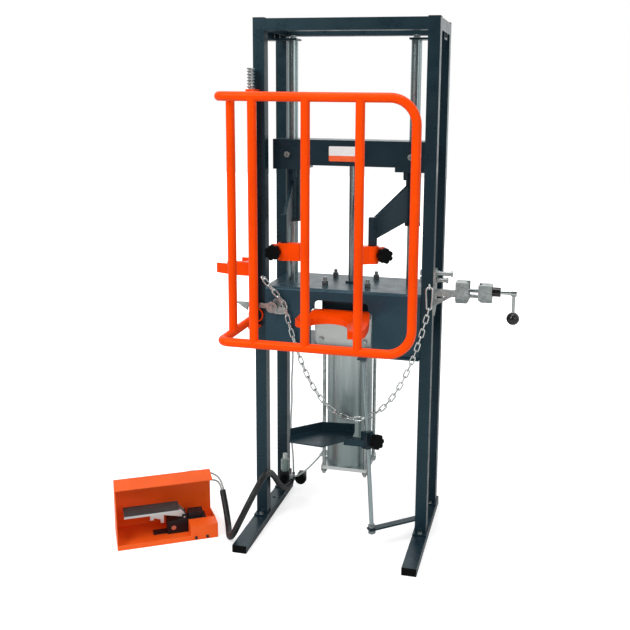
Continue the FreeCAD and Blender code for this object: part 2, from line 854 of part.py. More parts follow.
def elbow(start, axis, turn):
    """A screw-in fitting whose nipple points along the turn."""
    knee = start + axis * port_length
    body = fitting(start, axis).fuse(Part.makeSphere(port_diameter / 2, knee))
    return body.fuse(rod(knee, turn, port_diameter / 2 - elbow_step, elbow_length)).removeSplitter()


def elbow_end(start, axis, turn):
    return start + axis * port_length + V(turn).normalize() * elbow_length


# ---------------------------------------------------------------- crosshead

def end_block():
    half = end_block_width / 2
    block = box(rod_x - half, rod_x + half, -crosshead_half_depth, crosshead_half_depth, block_bottom, crosshead_top)
    block = block.cut(rod(V(rod_x, 0, block_bottom), Z, bush_outer, crosshead_top - block_bottom))
    pin_x = rod_x - half + stop_pin_place
    pin = rod(V(pin_x, -crosshead_half_depth + stop_pin_inset, block_bottom - stop_pin_length), Z,
              stop_pin_diameter / 2, stop_pin_length)
    seat = V(rod_x, -crosshead_half_depth, clamp_screw_height())
    block = block.cut(rod(seat, Y, clamp_screw_diameter / 2, clamp_screw_length()))
    return block.fuse(pin).removeSplitter()


def clamp_screw_height():
    return (block_bottom + crosshead_top) / 2


def clamp_screw_length():
    return crosshead_half_depth - bush_outer - clamp_screw_land


def clamp_screw():
    seat = V(rod_x, -crosshead_half_depth, clamp_screw_height())
    return socket_screw(seat, -Y, clamp_screw_diameter, clamp_screw_length())


def carrier_tube():
    return pipe(V(rod_x, 0, collar_bottom), Z, bush_outer, bush_inner, crosshead_top - collar_bottom)


def arm_collar():
    return pipe(V(rod_x, 0, collar_bottom), Z, bush_outer + arm_collar_wall, bush_outer, arm_collar_height)


def build_crosshead():
    half = rod_x - end_block_width / 2
    bar = square_tube(-half, half, -crosshead_half_depth, crosshead_half_depth, crosshead_bottom, crosshead_top,
                      crosshead_wall, "x")
    bar = bar.cut(rod(V(0, 0, crosshead_bottom), Z, piston_neck_radius, crosshead_wall))
    add("crosshead_bar", bar)
    add("crosshead_end_blocks", end_block(), mirrored(end_block()))
    carrier = carrier_tube().fuse(arm_collar()).removeSplitter()
    add("crosshead_bushes", carrier, mirrored(carrier))
    add("clamp_screws", clamp_screw(), mirrored(clamp_screw()))


# ---------------------------------------------------------------- swinging arms, claws and knobs

def arm_end(side):
    angle = math.radians(left_arm_angle if side < 0 else right_arm_angle)
    return V(side * (rod_x - arm_reach * math.sin(angle)), -arm_reach * math.cos(angle), 0)


def arm(side):
    """The arm is drawn along +X from the rod axis and then turned into place."""
    sleeve = rod(V(0, 0, sleeve_bottom), Z, sleeve_outer, arm_sleeve_length)
    half_bar = arm_bar / 2
    inner = sleeve_outer - arm_plate_root
    outer = arm_reach - half_bar
    plate = prism([V(inner, -arm_plate / 2, arm_plate_top),
                   V(outer, -arm_plate / 2, arm_bar_top),
                   V(outer, -arm_plate / 2, arm_bar_top - arm_plate_outer_height),
                   V(inner, -arm_plate / 2, arm_plate_top - arm_plate_inner_height)], V(0, arm_plate, 0))
    bar = box(outer, arm_reach + half_bar, -half_bar, half_bar, arm_bar_bottom, arm_bar_top)
    spigot = rod(V(arm_reach, 0, claw_bottom), Z, spigot_radius, arm_bar_bottom - claw_bottom)
    shape = sleeve.fuse([plate, bar, spigot]).removeSplitter()
    shape = shape.cut(rod(V(0, 0, sleeve_bottom), Z, sleeve_inner, arm_sleeve_length))
    end = arm_end(side)
    heading = math.degrees(math.atan2(end.y, end.x - side * rod_x))
    shape.rotate(V(0, 0, 0), Z, heading)
    shape.translate(V(side * rod_x, 0, 0))
    return shape


def claw_frame(side):
    angle = left_claw_angle if side < 0 else right_claw_angle
    return FreeCAD.Placement(arm_end(side), FreeCAD.Rotation(Z, angle))


def claw(side):
    """The claw is drawn around the spigot axis, reaching along +X, and then turned into place."""
    half = claw_depth / 2
    hub = rod(V(0, 0, claw_bottom), Z, claw_hub_radius, claw_height)
    jaw = box(0, claw_reach, -half, half, claw_bottom, claw_top)
    ear_end = -claw_ear - claw_ear_end
    ear_half = half - claw_ear_step
    ear = box(ear_end, 0, -ear_half, ear_half, claw_bottom + claw_ear_margin, claw_top - claw_ear_margin)
    shape = hub.fuse([jaw, ear]).removeSplitter()
    tip = [e for e in shape.Edges if abs(e.tangentAt(e.FirstParameter).dot(Z)) > 0.9
           and abs(e.CenterOfMass.x - claw_reach) < 0.1]
    shape = shape.makeFillet(claw_tip_radius, tip)
    back = 1 if side < 0 else -1
    middle = (claw_bottom + claw_top) / 2
    y0, y1 = sorted((back * claw_web, back * half))
    groove_x = claw_hub_radius + claw_groove_start
    shape = shape.cut(box(groove_x, claw_reach, y0, y1, middle - claw_groove / 2, middle + claw_groove / 2))
    shape = shape.cut(rod(V(0, 0, claw_bottom), Z, spigot_radius + running_fit, claw_height))
    shape = shape.cut(box(ear_end, -spigot_radius, -claw_slit / 2, claw_slit / 2, claw_bottom, claw_top))
    shape = shape.cut(rod(V(-claw_ear, -half, middle), Y, knob_stud_radius + claw_stud_play, claw_depth))
    shape.Placement = claw_frame(side)
    return shape


def claw_knob(side):
    """A star knob with its clamping stud, standing on the front of the claw's ear."""
    front = -1 if side < 0 else 1
    half = claw_depth / 2 - claw_ear_step
    seat = V(-claw_ear, front * (half + claw_knob_play), (claw_bottom + claw_top) / 2)
    knob = star_knob(seat, V(0, front, 0))
    stud = rod(seat, V(0, -front, 0), knob_stud_radius, 2 * half + claw_stud_end)
    shape = knob.fuse(stud).removeSplitter()
    shape.Placement = claw_frame(side).multiply(shape.Placement)
    return shape


def build_arms():
    for side, name in ((-1, "left"), (1, "right")):
        add(name + "_arm", arm(side))
        add(name + "_claw", claw(side))
        add(name + "_claw_knob", claw_knob(side))


# ---------------------------------------------------------------- lower fork and holder

def fork_shape():
    """A plate with a wide mouth toward the front, dished around its bore, with a collar under the dish."""
    low = fork_top - fork_thickness
    collar_top = fork_top - fork_dish_drop
    collar_bottom = collar_top - fork_collar_height
    plate = prism([V(x, y, low) for x, y in fork_outline], V(0, 0, fork_thickness))
    collar = pipe(V(0, 0, collar_bottom), Z, fork_bore_radius + fork_collar_wall, fork_bore_radius,
                  collar_top - collar_bottom)
    under = prism([V(x, y, collar_bottom) for x, y in fork_outline], V(0, 0, fork_top - collar_bottom))
    shape = plate.fuse(collar.common(under))
    shape = shape.cut(Part.makeCone(fork_bore_radius, fork_dish_radius, fork_dish_drop, V(0, 0, collar_top)))
    shape = shape.cut(rod(V(0, 0, collar_bottom), Z, fork_bore_radius, fork_top - collar_bottom))
    mouth = prism([V(x, y, collar_bottom) for x, y in fork_mouth], V(0, 0, fork_top - collar_bottom))
    shape = shape.cut(mouth).removeSplitter()
    shape.translate(V(fork_x, fork_centre_y, 0))
    return shape


def build_fork():
    add("lower_fork", fork_shape())
    floor_z = beam_bottom + beam_plate
    y0 = holder_face_y
    y1 = y0 + holder_thickness
    plate = box(-holder_half_width, holder_half_width, y0, y1, floor_z, floor_z + holder_height)
    base = box(-holder_half_width, holder_half_width, y1, y1 + holder_foot, floor_z, floor_z + beam_plate)
    holder = plate.fuse(base).removeSplitter()
    bolts = []
    for x in (-holder_bolt_x, holder_bolt_x):
        seat = V(x, y0, floor_z + holder_bolt_height)
        holder = holder.cut(rod(seat, Y, holder_bolt_diameter / 2, holder_thickness))
        bolts.append(hex_bolt(seat, -Y, holder_bolt_diameter, holder_thickness))
    add("fork_holder", holder)
    add("frame_bolts", *bolts)


# ---------------------------------------------------------------- strut shelf

def shelf_axis():
    return (shelf_rod_top - shelf_rod_bottom).normalize()


def shelf_rod_shape():
    span = shelf_rod_top - shelf_rod_bottom
    return rod(shelf_rod_bottom, shelf_axis(), shelf_rod_radius, span.Length)


def shelf_rod_at(z):
    share = (z - shelf_rod_bottom.z) / (shelf_rod_top.z - shelf_rod_bottom.z)
    return shelf_rod_bottom + (shelf_rod_top - shelf_rod_bottom) * share


def rod_nut(z, up):
    """A nut square to the leaning rod, just clear of a level face at the height z."""
    across = nut_across_share * shelf_rod_radius
    tilt = math.tan(shelf_axis().getAngle(Z)) * across / 2
    start = shelf_rod_at(z) + shelf_axis() * up * (tilt + rod_nut_play)
    nut = hexagon(start, shelf_axis() * up, across, nut_height)
    return nut.cut(shelf_rod_shape())


def shelf_block_place():
    middle = shelf_rod_at(shelf_height)
    turn = FreeCAD.Rotation(Z, shelf_axis()).multiply(FreeCAD.Rotation(Z, shelf_knob_turn))
    return FreeCAD.Placement(middle, turn)


def build_shelf():
    add("shelf_rod", shelf_rod_shape())
    add("hex_nuts", rod_nut(shelf_bar_height, -1), rod_nut(beam_bottom, -1),
        rod_nut(shelf_bar_height + shelf_bar_thickness, 1))
    end = shelf_rod_at(shelf_bar_height)
    start = V(inner_x, -post_y, shelf_bar_height)
    end.z = shelf_bar_height
    along = (start - end).normalize()
    across = V(-along.y, along.x, 0) * (shelf_bar_width / 2)
    far = end - along * shelf_bar_width / 2
    overrun = start + along * shelf_bar_width
    strip = prism([far - across, overrun - across, overrun + across, far + across], V(0, 0, shelf_bar_thickness))
    strip = strip.common(box(-inner_x, inner_x, 2 * front_y, 0, 0, beam_bottom))
    add("shelf_rod_bracket", strip.cut(shelf_rod_shape()))

    bottom = shelf_height - shelf_thickness
    outline = [V(x, beam_front + y, bottom) for x, y in shelf_outline]
    walled = outline[-3:]    # the rear edge and the left one
    plate = prism(outline, V(0, 0, shelf_thickness))
    for a, b in zip(walled, walled[1:]):
        inward = V(-(b - a).y, (b - a).x, 0).normalize() * shelf_thickness
        wall = prism([a, b, b + inward, a + inward], V(0, 0, shelf_thickness + shelf_wall_height))
        plate = plate.fuse(wall)
    middle = shelf_rod_at(shelf_height)
    half_arm = shelf_arm_width / 2
    reach = box(walled[0].x - shelf_arm_overlap, middle.x, middle.y - half_arm, middle.y + half_arm,
                shelf_height - shelf_arm_height, shelf_height)
    half = shelf_block / 2
    block = box(-half, half, -half, half, -shelf_block_length / 2, shelf_block_length / 2)
    block = block.fuse(rod(V(half, 0, 0), X, knob_stem_radius, shelf_knob_boss))
    block.Placement = shelf_block_place()
    shape = plate.fuse([reach, block]).removeSplitter()
    bore = rod(shelf_rod_bottom, shelf_axis(), shelf_rod_radius + shelf_fit,
               (shelf_rod_top - shelf_rod_bottom).Length)
    shape = shape.cut(bore)
    place = shelf_block_place()
    outward = place.Rotation.multVec(X)
    seat = place.multVec(V(half + shelf_knob_boss, 0, 0))
    depth = half + shelf_knob_boss - shelf_rod_radius
    shape = shape.cut(rod(seat, -outward, knob_stud_radius, depth))
    add("strut_shelf", shape)
    knob = star_knob(seat + outward * shelf_knob_play, outward)
    stud = rod(seat + outward * shelf_knob_play, -outward, knob_stud_radius - running_fit, depth)
    add("shelf_knob", knob.fuse(stud).removeSplitter())


# ---------------------------------------------------------------- guard cage

def guard_rail_path():
    """Centre line: hinge top, side, front, right end, front, side, hinge bottom."""
    corners = [V(guard_hinge_x, guard_hinge_y, guard_top),
               V(guard_hinge_x, guard_front, guard_top),
               V(guard_right, guard_front, guard_top),
               V(guard_right, guard_front, guard_bottom),
               V(guard_hinge_x, guard_front, guard_bottom),
               V(guard_hinge_x, guard_hinge_y, guard_bottom)]
    bends = [guard_side_radius, guard_corner_radius, guard_corner_radius, guard_side_radius]
    edges = []
    start = corners[0]
    for k, bend in enumerate(bends):
        here = corners[k + 1]
        back = (corners[k] - here).normalize()
        ahead = (corners[k + 2] - here).normalize()
        first = here + back * bend
        last = here + ahead * bend
        middle = here + (back + ahead).normalize() * bend * (math.sqrt(2) - 1)
        edges.append(Part.LineSegment(start, first).toShape())
        edges.append(Part.Arc(first, middle, last).toShape())
        start = last
    edges.append(Part.LineSegment(start, corners[-1]).toShape())
    return Part.Wire(edges)


def guard_cage(wall):
    """The rail and its bars as solid rods, thinner by the wall."""
    start = V(guard_hinge_x, guard_hinge_y, guard_top)
    section = Part.Wire(Part.makeCircle(guard_tube_radius - wall, start, -Y))
    cage = guard_rail_path().makePipeShell([section], True, False)
    places = [V(guard_right - (k + 1) * guard_bar_pitch, guard_front, guard_bottom) for k in range(guard_bars)]
    places.append(V(guard_hinge_x, guard_hinge_y - guard_side_bar, guard_bottom))
    return cage.fuse([rod(place, Z, guard_bar_radius - wall, guard_top - guard_bottom) for place in places])


def guard_hinge_span():
    return guard_bottom - guard_tube_radius - guard_hinge_drop, guard_top + guard_tube_radius


def build_guard():
    low, high = guard_hinge_span()
    foot = V(guard_hinge_x, guard_hinge_y, low)
    cage = guard_cage(0).fuse(rod(foot, Z, guard_tube_radius, high - low))
    cage = cage.cut(guard_cage(guard_tube_wall).cut(rod(foot, Z, guard_tube_radius, high - low)))
    cage = cage.cut(rod(foot, Z, guard_pin_radius + guard_pin_fit, high - low))
    add("guard", cage)

    thick = guard_bracket_thickness
    low_bracket = low - guard_low_gap - thick
    ring_place = V(guard_hinge_x, front_y - guard_ring_wire, guard_bottom + guard_ring_rise)
    high_bracket = high + guard_high_gap
    spring_bottom = high_bracket + thick
    pin_top = spring_bottom + spring_length
    brackets = []
    for z in (low_bracket, high_bracket):
        half = guard_bracket_width / 2
        plate = box(guard_hinge_x, guard_hinge_x + half, guard_hinge_y - half, front_y, z, z + thick)
        eye = rod(V(guard_hinge_x, guard_hinge_y, z), Z, half, thick)
        web = box(guard_hinge_x - half, guard_hinge_x + half, guard_hinge_y, front_y, z, z + thick)
        plate = plate.fuse([eye, web]).removeSplitter()
        brackets.append(plate.cut(rod(V(guard_hinge_x, guard_hinge_y, z), Z, guard_pin_radius, thick)))
    ring = Part.makeTorus(guard_ring_radius, guard_ring_wire, ring_place, Y)
    add("guard_brackets", ring, *brackets)
    pin = rod(V(guard_hinge_x, guard_hinge_y, low_bracket), Z, guard_pin_radius, pin_top - low_bracket)
    head = rod(V(guard_hinge_x, guard_hinge_y, pin_top), Z, spring_radius + spring_wire_radius, guard_pin_head)
    foot_head = rod(V(guard_hinge_x, guard_hinge_y, low_bracket), -Z, guard_pin_radius + guard_pin_foot_wall,
                    guard_pin_foot)
    add("guard_pin", pin.fuse([head, foot_head]).removeSplitter())
    add("guard_spring", coil(V(guard_hinge_x, guard_hinge_y, spring_bottom + spring_wire_radius)))


def coil(start):
    pitch = (spring_length - 2 * spring_wire_radius) / spring_turns
    helix = Part.makeHelix(pitch, pitch * spring_turns, spring_radius)
    tangent = V(0, spring_radius, pitch / (2 * math.pi))
    section = Part.Wire(Part.makeCircle(spring_wire_radius, V(spring_radius, 0, 0), tangent))
    shape = helix.makePipeShell([section], True, True)
    shape.translate(start)
    return shape


# ---------------------------------------------------------------- side vise

def vee_jaw(x0, x1, z0, z1, opens_toward):
    """A jaw with an upright groove; its lower front and rear edges are cut back."""
    half = jaw_width / 2
    jaw = box(x0, x1, vise_y - half, vise_y + half, z0, z1)
    face = x1 if opens_toward > 0 else x0
    edge = half - jaw_vee_edge
    jaw = jaw.cut(prism([V(face, vise_y - edge, z0), V(face, vise_y + edge, z0),
                         V(face - opens_toward * jaw_vee_depth, vise_y, z0)], V(0, 0, z1 - z0)))
    for side in (-1, 1):
        y = vise_y + side * half
        jaw = jaw.cut(prism([V(x0, y, z0), V(x0, y, z0 + jaw_chamfer), V(x0, y - side * jaw_chamfer, z0)],
                            V(x1 - x0, 0, 0)))
    return jaw


def vise_bolt(z, reach):
    """A bolt through the post, with a nut against the plate and a spool on its end."""
    plate_x = frame_width / 2 + vise_plate_thickness
    shank = rod(V(inner_x, vise_y, z), X, vise_bolt_radius, post_size + vise_plate_thickness + reach)
    across = hex_across_share * 2 * vise_bolt_radius
    head = hexagon(V(inner_x, vise_y, z), -X, across, vise_bolt_head)
    nut = hexagon(V(plate_x, vise_y, z), X, across, vise_bolt_nut)
    spool = rod(V(plate_x + vise_bolt_nut, vise_y, z), X, vise_spool_radius, reach - vise_bolt_nut)
    rim = rod(V(plate_x + reach - vise_spool_rim_length, vise_y, z), X, vise_spool_rim, vise_spool_rim_length)
    return shank.fuse([head, nut, spool, rim]).removeSplitter()


def vise_bracket(jaw_x, jaw_z, arm_top):
    plate_x = frame_width / 2
    arm_x = plate_x + vise_plate_thickness
    half_post = post_size / 2
    half_arm = vise_arm_width / 2
    low = vise_plate_bottom
    plate = box(plate_x, arm_x, vise_y - half_post, vise_y + half_post, low, low + vise_plate_height)
    plate = plate.cut(prism([V(plate_x, vise_y - half_post, low), V(plate_x, vise_y + half_post, low),
                             V(plate_x, vise_y + half_post, low + vise_plate_taper)],
                            V(vise_plate_thickness, 0, 0)))
    arm_low = arm_top - vise_arm_height
    reach = box(arm_x, jaw_x, vise_y - half_arm, vise_y + half_arm, arm_low, arm_top)
    thin = vise_brace / 2
    foot = low + vise_brace_foot
    brace = prism([V(arm_x, vise_y - thin, foot), V(arm_x, vise_y - thin, foot + vise_brace_height),
                   V(jaw_x - 2 * vise_brace, vise_y - thin, arm_low),
                   V(jaw_x - vise_brace, vise_y - thin, arm_low)], V(0, 2 * thin, 0))
    jaw = vee_jaw(jaw_x, jaw_x + jaw_length, jaw_z - jaw_height / 2, jaw_z + jaw_height / 2, 1)
    guide = rod(V(jaw_x, vise_y, vise_axis_z - vise_guide_drop), X, vise_guide_radius,
                jaw_length + vise_guide_length)
    shape = plate.fuse([reach, brace, jaw, guide]).removeSplitter()
    for z in vise_bolt_heights:
        shape = shape.cut(rod(V(plate_x, vise_y, z), X, vise_bolt_radius, vise_plate_thickness))
    return shape


def build_vise():
    jaw_x = frame_width / 2 + vise_plate_thickness + vise_arm_length
    arm_top = vise_axis_z - vise_arm_drop
    jaw_z = arm_top - vise_arm_height / 2 + jaw_lift
    screw_start = V(jaw_x + jaw_length - jaw_vee_depth - vise_screw_seat, vise_y, vise_axis_z)
    screw = rod(screw_start, X, vise_screw_radius, vise_screw_length)
    add("vise_bracket", vise_bracket(jaw_x, jaw_z, arm_top).cut(screw))
    add("frame_bolts", *[vise_bolt(z, reach) for z, reach in zip(vise_bolt_heights, vise_bolt_reach)])
    add("vise_screw", screw)

    moving_x = jaw_x + jaw_length + jaw_opening
    moving = vee_jaw(moving_x, moving_x + jaw_length, jaw_z - moving_jaw_height / 2,
                     jaw_z + moving_jaw_height / 2, -1)
    for z, radius in ((vise_axis_z, vise_screw_radius), (vise_axis_z - vise_guide_drop, vise_guide_radius)):
        moving = moving.cut(rod(V(moving_x, vise_y, z), X, radius + jaw_bore_play, jaw_length))
    add("vise_jaw", moving)

    nut_x = moving_x + jaw_length + vise_nut_play
    collar = rod(V(nut_x, vise_y, vise_axis_z), X, vise_nut_radius, vise_nut_length)
    shaft = rod(V(nut_x + vise_nut_length, vise_y, vise_axis_z), X, vise_shaft_radius, vise_shaft_length)
    end_x = nut_x + vise_nut_length + vise_shaft_length
    head = rod(V(end_x - vise_head_length, vise_y, vise_axis_z), X, vise_head_radius, vise_head_length)
    bore = rod(V(nut_x, vise_y, vise_axis_z), X, vise_screw_radius + running_fit,
               vise_nut_length + vise_shaft_length - vise_head_length)
    cross_x = end_x - vise_head_length / 2
    low = vise_axis_z - vise_handle_length
    bar = rod(V(cross_x, vise_y, low), Z, vise_handle_radius, vise_handle_length)
    add("vise_nut", collar.fuse([shaft, head]).removeSplitter().cut(bore).cut(bar))
    ball = Part.makeSphere(vise_ball_radius, V(cross_x, vise_y, low))
    add("vise_handle", bar.fuse(ball).removeSplitter())


# ---------------------------------------------------------------- hook clamp and spare fork

def hook_clamp():
    """A blade and its bar on a round boss, with a thin jaw plate and the stud for the chain."""
    def at(x, z):
        return V(hook_boss_x + x, beam_front, z)
    top = hook_centre_z + hook_bar_height / 2
    boss = rod(at(0, hook_centre_z), -Y, hook_boss_radius, hook_boss_depth)
    pivot = rod(at(0, hook_centre_z), -Y, hook_pivot_radius, hook_pivot_depth)
    jaw = box(hook_boss_x, hook_boss_x + hook_jaw_length, beam_front - hook_jaw_depth, beam_front,
              hook_centre_z - hook_jaw_height / 2, hook_centre_z + hook_jaw_height / 2)
    edges = [e for e in jaw.Edges if abs(e.tangentAt(e.FirstParameter).dot(Y)) > 0.9]
    jaw = jaw.makeFillet(hook_jaw_edge, edges)
    stud = rod(at(chain_peg_x, chain_peg.z), -Y, chain_peg_radius, chain_peg_reach)
    y0 = beam_front - hook_bar_thickness
    tail = hook_crescent - hook_reach
    bar = box(hook_boss_x + tail, hook_boss_x, y0, beam_front, top - hook_bar_height, top)
    blade = prism([at(-hook_reach, top), at(tail, top), at(tail, top - hook_blade_height)],
                  V(0, -hook_bar_thickness, 0))
    bite = rod(at(-hook_reach, top - hook_bite_drop), -Y, hook_bite_radius, hook_bar_thickness)
    return boss.fuse([pivot, jaw, stud, bar, blade.cut(bite)]).removeSplitter()


def spare_fork():
    x1 = -frame_width / 2
    x0 = x1 - spare_fork_reach
    low = spare_fork_z - spare_fork_rise / 2
    half = spare_fork_width / 2
    root = x1 - spare_fork_root
    throat = x1 - spare_fork_throat
    step = spare_fork_rise - spare_fork_thickness
    tines = [V(x1, -half, low), V(root, -half, low), V(x0, -half / 3, low), V(root, spare_fork_tine - half, low),
             V(throat, -spare_fork_throat_half, low), V(throat, spare_fork_throat_half, low),
             V(root, half - spare_fork_tine, low), V(x0 + spare_fork_step, half / 3, low),
             V(root, half, low), V(x1, half, low)]
    cap_x = x1 - spare_fork_cap
    cap = box(cap_x, x1, -half, half, low + step, low + spare_fork_rise)
    cap = cap.cut(rod(V(cap_x, 0, low + step), Z, spare_fork_cap_bite, spare_fork_thickness))
    fork = prism(tines, V(0, 0, step)).fuse(cap).removeSplitter()
    fork.translate(V(0, spare_fork_setback - post_y, 0))
    return fork


def build_left_side():
    add("hook_clamp", hook_clamp())
    add("spare_fork", spare_fork())


# ---------------------------------------------------------------- chain, eyes and snap hook

def link(centre, tangent, turned):
    half = (link_inner_length + link_wire) / 2
    side = (link_inner_width + link_wire) / 2
    corners = [V(-half, -side, 0), V(half, -side, 0), V(half, side, 0), V(-half, side, 0)]
    shape = closed_wire_loop([(p, side - link_corner_play) for p in corners], link_wire / 2)
    if turned:
        shape.rotate(V(0, 0, 0), X, 90)
    heading = math.degrees(math.atan2(tangent.z, tangent.x))
    shape.rotate(V(0, 0, 0), -Y, heading)
    shape.translate(centre)
    return shape


def catenary(left, right, length):
    """Return a function that gives the point at a distance along a hanging chain."""
    span = right.x - left.x
    rise = right.z - left.z
    target = math.sqrt(length ** 2 - rise ** 2) / span
    low = 1e-6
    high = 20.0
    for _ in range(80):
        middle = (low + high) / 2
        if math.sinh(middle) / middle > target:
            high = middle
        else:
            low = middle
    scale = span / (2 * low)
    centre = (left.x + right.x) / 2 - scale * math.atanh(rise / length)
    start = scale * math.sinh((left.x - centre) / scale)
    base = left.z - scale * math.cosh((left.x - centre) / scale)

    def at(distance):
        x = centre + scale * math.asinh((start + distance) / scale)
        return V(x, chain_y, base + scale * math.cosh((x - centre) / scale))
    return at


def chain_points():
    """Ends of the links: straight from the eye over the stud, then hanging to the snap hook."""
    pitch = link_inner_length - link_slack
    over = chain_peg + chain_over_peg
    down = (over - chain_eye).normalize()
    hold = pitch / 2 - (link_inner_length / 2 - eye_wire - link_slack / 2)
    start = chain_eye + down * (eye_radius - hold)
    straight = (over - start).Length
    grip = pitch / 2 - (link_inner_length / 2 - snap_wire - link_slack / 2)
    end = V(snap_eye.x, chain_y, snap_low() + grip)
    at = catenary(over, end, pitch * chain_links - straight)
    points = []
    for k in range(chain_links + 1):
        distance = k * pitch
        points.append(start + down * distance if distance < straight else at(distance - straight))
    return points


def screw_eye(place, normal):
    """A screw eye in the front face of a post; the normal is that of its ring."""
    ring = Part.makeTorus(eye_radius, eye_wire, place, normal)
    stem = rod(V(place.x, front_y, place.z), -Y, eye_wire, chain_stand - eye_radius)
    return ring.fuse(stem).removeSplitter()


def snap_top():
    return snap_eye.z - eye_radius + eye_wire + snap_wire + link_slack / 2


def snap_low():
    return snap_top() - snap_length


def build_chain():
    points = chain_points()
    for k, (first, last) in enumerate(zip(points, points[1:])):
        add("safety_chain", link((first + last) / 2, last - first, k % 2 == 0))
    add("safety_chain", screw_eye(chain_eye, (points[1] - points[0]).cross(Y)), screw_eye(snap_eye, X))
    add("snap_hook", snap_hook())
    add("snap_gate", snap_gate())


def snap_hook():
    top = snap_top()
    low = snap_low()
    corners = [V(snap_eye.x - snap_big_radius, chain_y, top), V(snap_eye.x + snap_big_radius, chain_y, top),
               V(snap_eye.x + snap_small_radius, chain_y, low), V(snap_eye.x - snap_small_radius, chain_y, low)]
    radii = [snap_big_radius, snap_big_radius, snap_small_radius, snap_small_radius]
    loop = closed_wire_loop([(p, radius - snap_corner_play) for p, radius in zip(corners, radii)], snap_wire)
    first, along, room = snap_gap()
    return loop.cut(rod(first, along, snap_wire + snap_gate_gap, room))


def snap_gap():
    """Start, direction and length of the gap in the hook's right side."""
    first = snap_side_point(snap_gate_low)
    span = snap_side_point(snap_gate_high) - first
    room = span.Length
    return first, span.normalize(), room


def snap_pivot():
    first, along, room = snap_gap()
    return first + along * (snap_gate_gap + snap_wire)


def snap_gate():
    first, along, room = snap_gap()
    pivot = snap_pivot()
    hub = rod(pivot - Y * snap_wire, Y, snap_wire, 2 * snap_wire)
    bar = rod(pivot, along, snap_gate_radius, room - snap_wire - 2 * snap_gate_gap)
    return hub.fuse(bar).removeSplitter()


def snap_side_point(rise):
    """A point on the centre line of the snap hook's right side."""
    share = rise / snap_length
    reach = snap_small_radius + (snap_big_radius - snap_small_radius) * share
    return V(snap_eye.x + reach, chain_y, snap_low() + rise)


# ---------------------------------------------------------------- air unit

def unit_axis():
    """Front-to-back middle and height of the air unit's ports."""
    return post_y - post_size / 2 - unit_depth / 2, unit_bottom + unit_body_height / 2


def tee_centre():
    axis_y, mid_z = unit_axis()
    return V(unit_x + unit_width / 2 + tee_reach, axis_y, mid_z)


def valve_centre():
    axis_y, mid_z = unit_axis()
    return V(unit_x + unit_width / 2 + valve_gap + valve_width / 2, axis_y, mid_z + valve_rise)


def supply_outlet():
    return tee_centre() + Z * (tee_radius + outlet_rise)


def hose_outlet(beyond):
    """A place on the line of the hose's stub, counted from the end of the stub."""
    return tee_centre() + V(hose_turn).normalize() * (tee_radius + hose_stub + beyond)


def cylinder_outlet():
    return tee_centre() + V(outlet_turn).normalize() * (tee_radius + elbow_length)


def rounded_knob(start, axis, radius, length, edge):
    knob = rod(start, axis, radius, length)
    far = start + axis * length
    rim = [e for e in knob.Edges if abs((e.CenterOfMass - far).dot(axis)) < 0.1]
    return knob.makeFillet(edge, rim)


def build_air_unit():
    axis_y, mid_z = unit_axis()
    half = unit_width / 2
    front = axis_y - unit_depth / 2
    body = box(unit_x - half, unit_x + half, front, front + unit_depth, unit_bottom, unit_bottom + unit_body_height)
    corners = [e for e in body.Edges if abs(e.tangentAt(e.FirstParameter).dot(Z)) > 0.9
               and abs(e.CenterOfMass.y - front) < 0.1]
    body = body.makeFillet(unit_edge, corners)
    nipple = rod(V(unit_x + half, axis_y, mid_z), X, nipple_radius, valve_gap)
    tee = tee_centre()
    knot = Part.makeSphere(tee_radius, tee)
    up = rod(tee, Z, outlet_radius, tee_radius + outlet_rise)
    aside = rod(tee, outlet_turn, outlet_radius, tee_radius + elbow_length)
    hose_port = rod(tee, hose_turn, hose_neck_radius, tee_radius + hose_stub)
    add("filter_regulator", body.fuse([nipple, knot, up, aside, hose_port]).removeSplitter())
    bowl_foot = V(unit_x, axis_y, unit_bottom + unit_body_height)
    neck = rod(bowl_foot, Z, bowl_neck_radius, bowl_height + bowl_neck_height)
    bowl = rounded_knob(bowl_foot, Z, bowl_radius, bowl_height, bowl_edge)
    add("filter_bowl", bowl.fuse(neck).removeSplitter())
    seat = V(unit_x, front - knob_play, mid_z)
    add("regulator_knob", rounded_knob(seat, -Y, unit_knob_radius, unit_knob_length, unit_knob_edge))
    middle = valve_centre()
    half = valve_width / 2
    add("flow_valve", box(middle.x - half, middle.x + half, middle.y - half, middle.y + half,
                          middle.z - valve_height / 2, middle.z + valve_height / 2))
    seat = middle - Y * (half + knob_play)
    add("flow_knob", rounded_knob(seat, -Y, valve_knob_radius, valve_knob_length, valve_knob_edge))


# ---------------------------------------------------------------- foot pedal

def on_pedal(shape):
    """Move a shape drawn at the pedal box's own corner to its place on the floor."""
    shape.rotate(V(0, 0, 0), Z, pedal_angle)
    shape.translate(V(pedal_corner_x, pedal_corner_y, 0))
    return shape


def pedal_point(u, v, z):
    return on_pedal(Part.Vertex(V(u, v, z))).Point


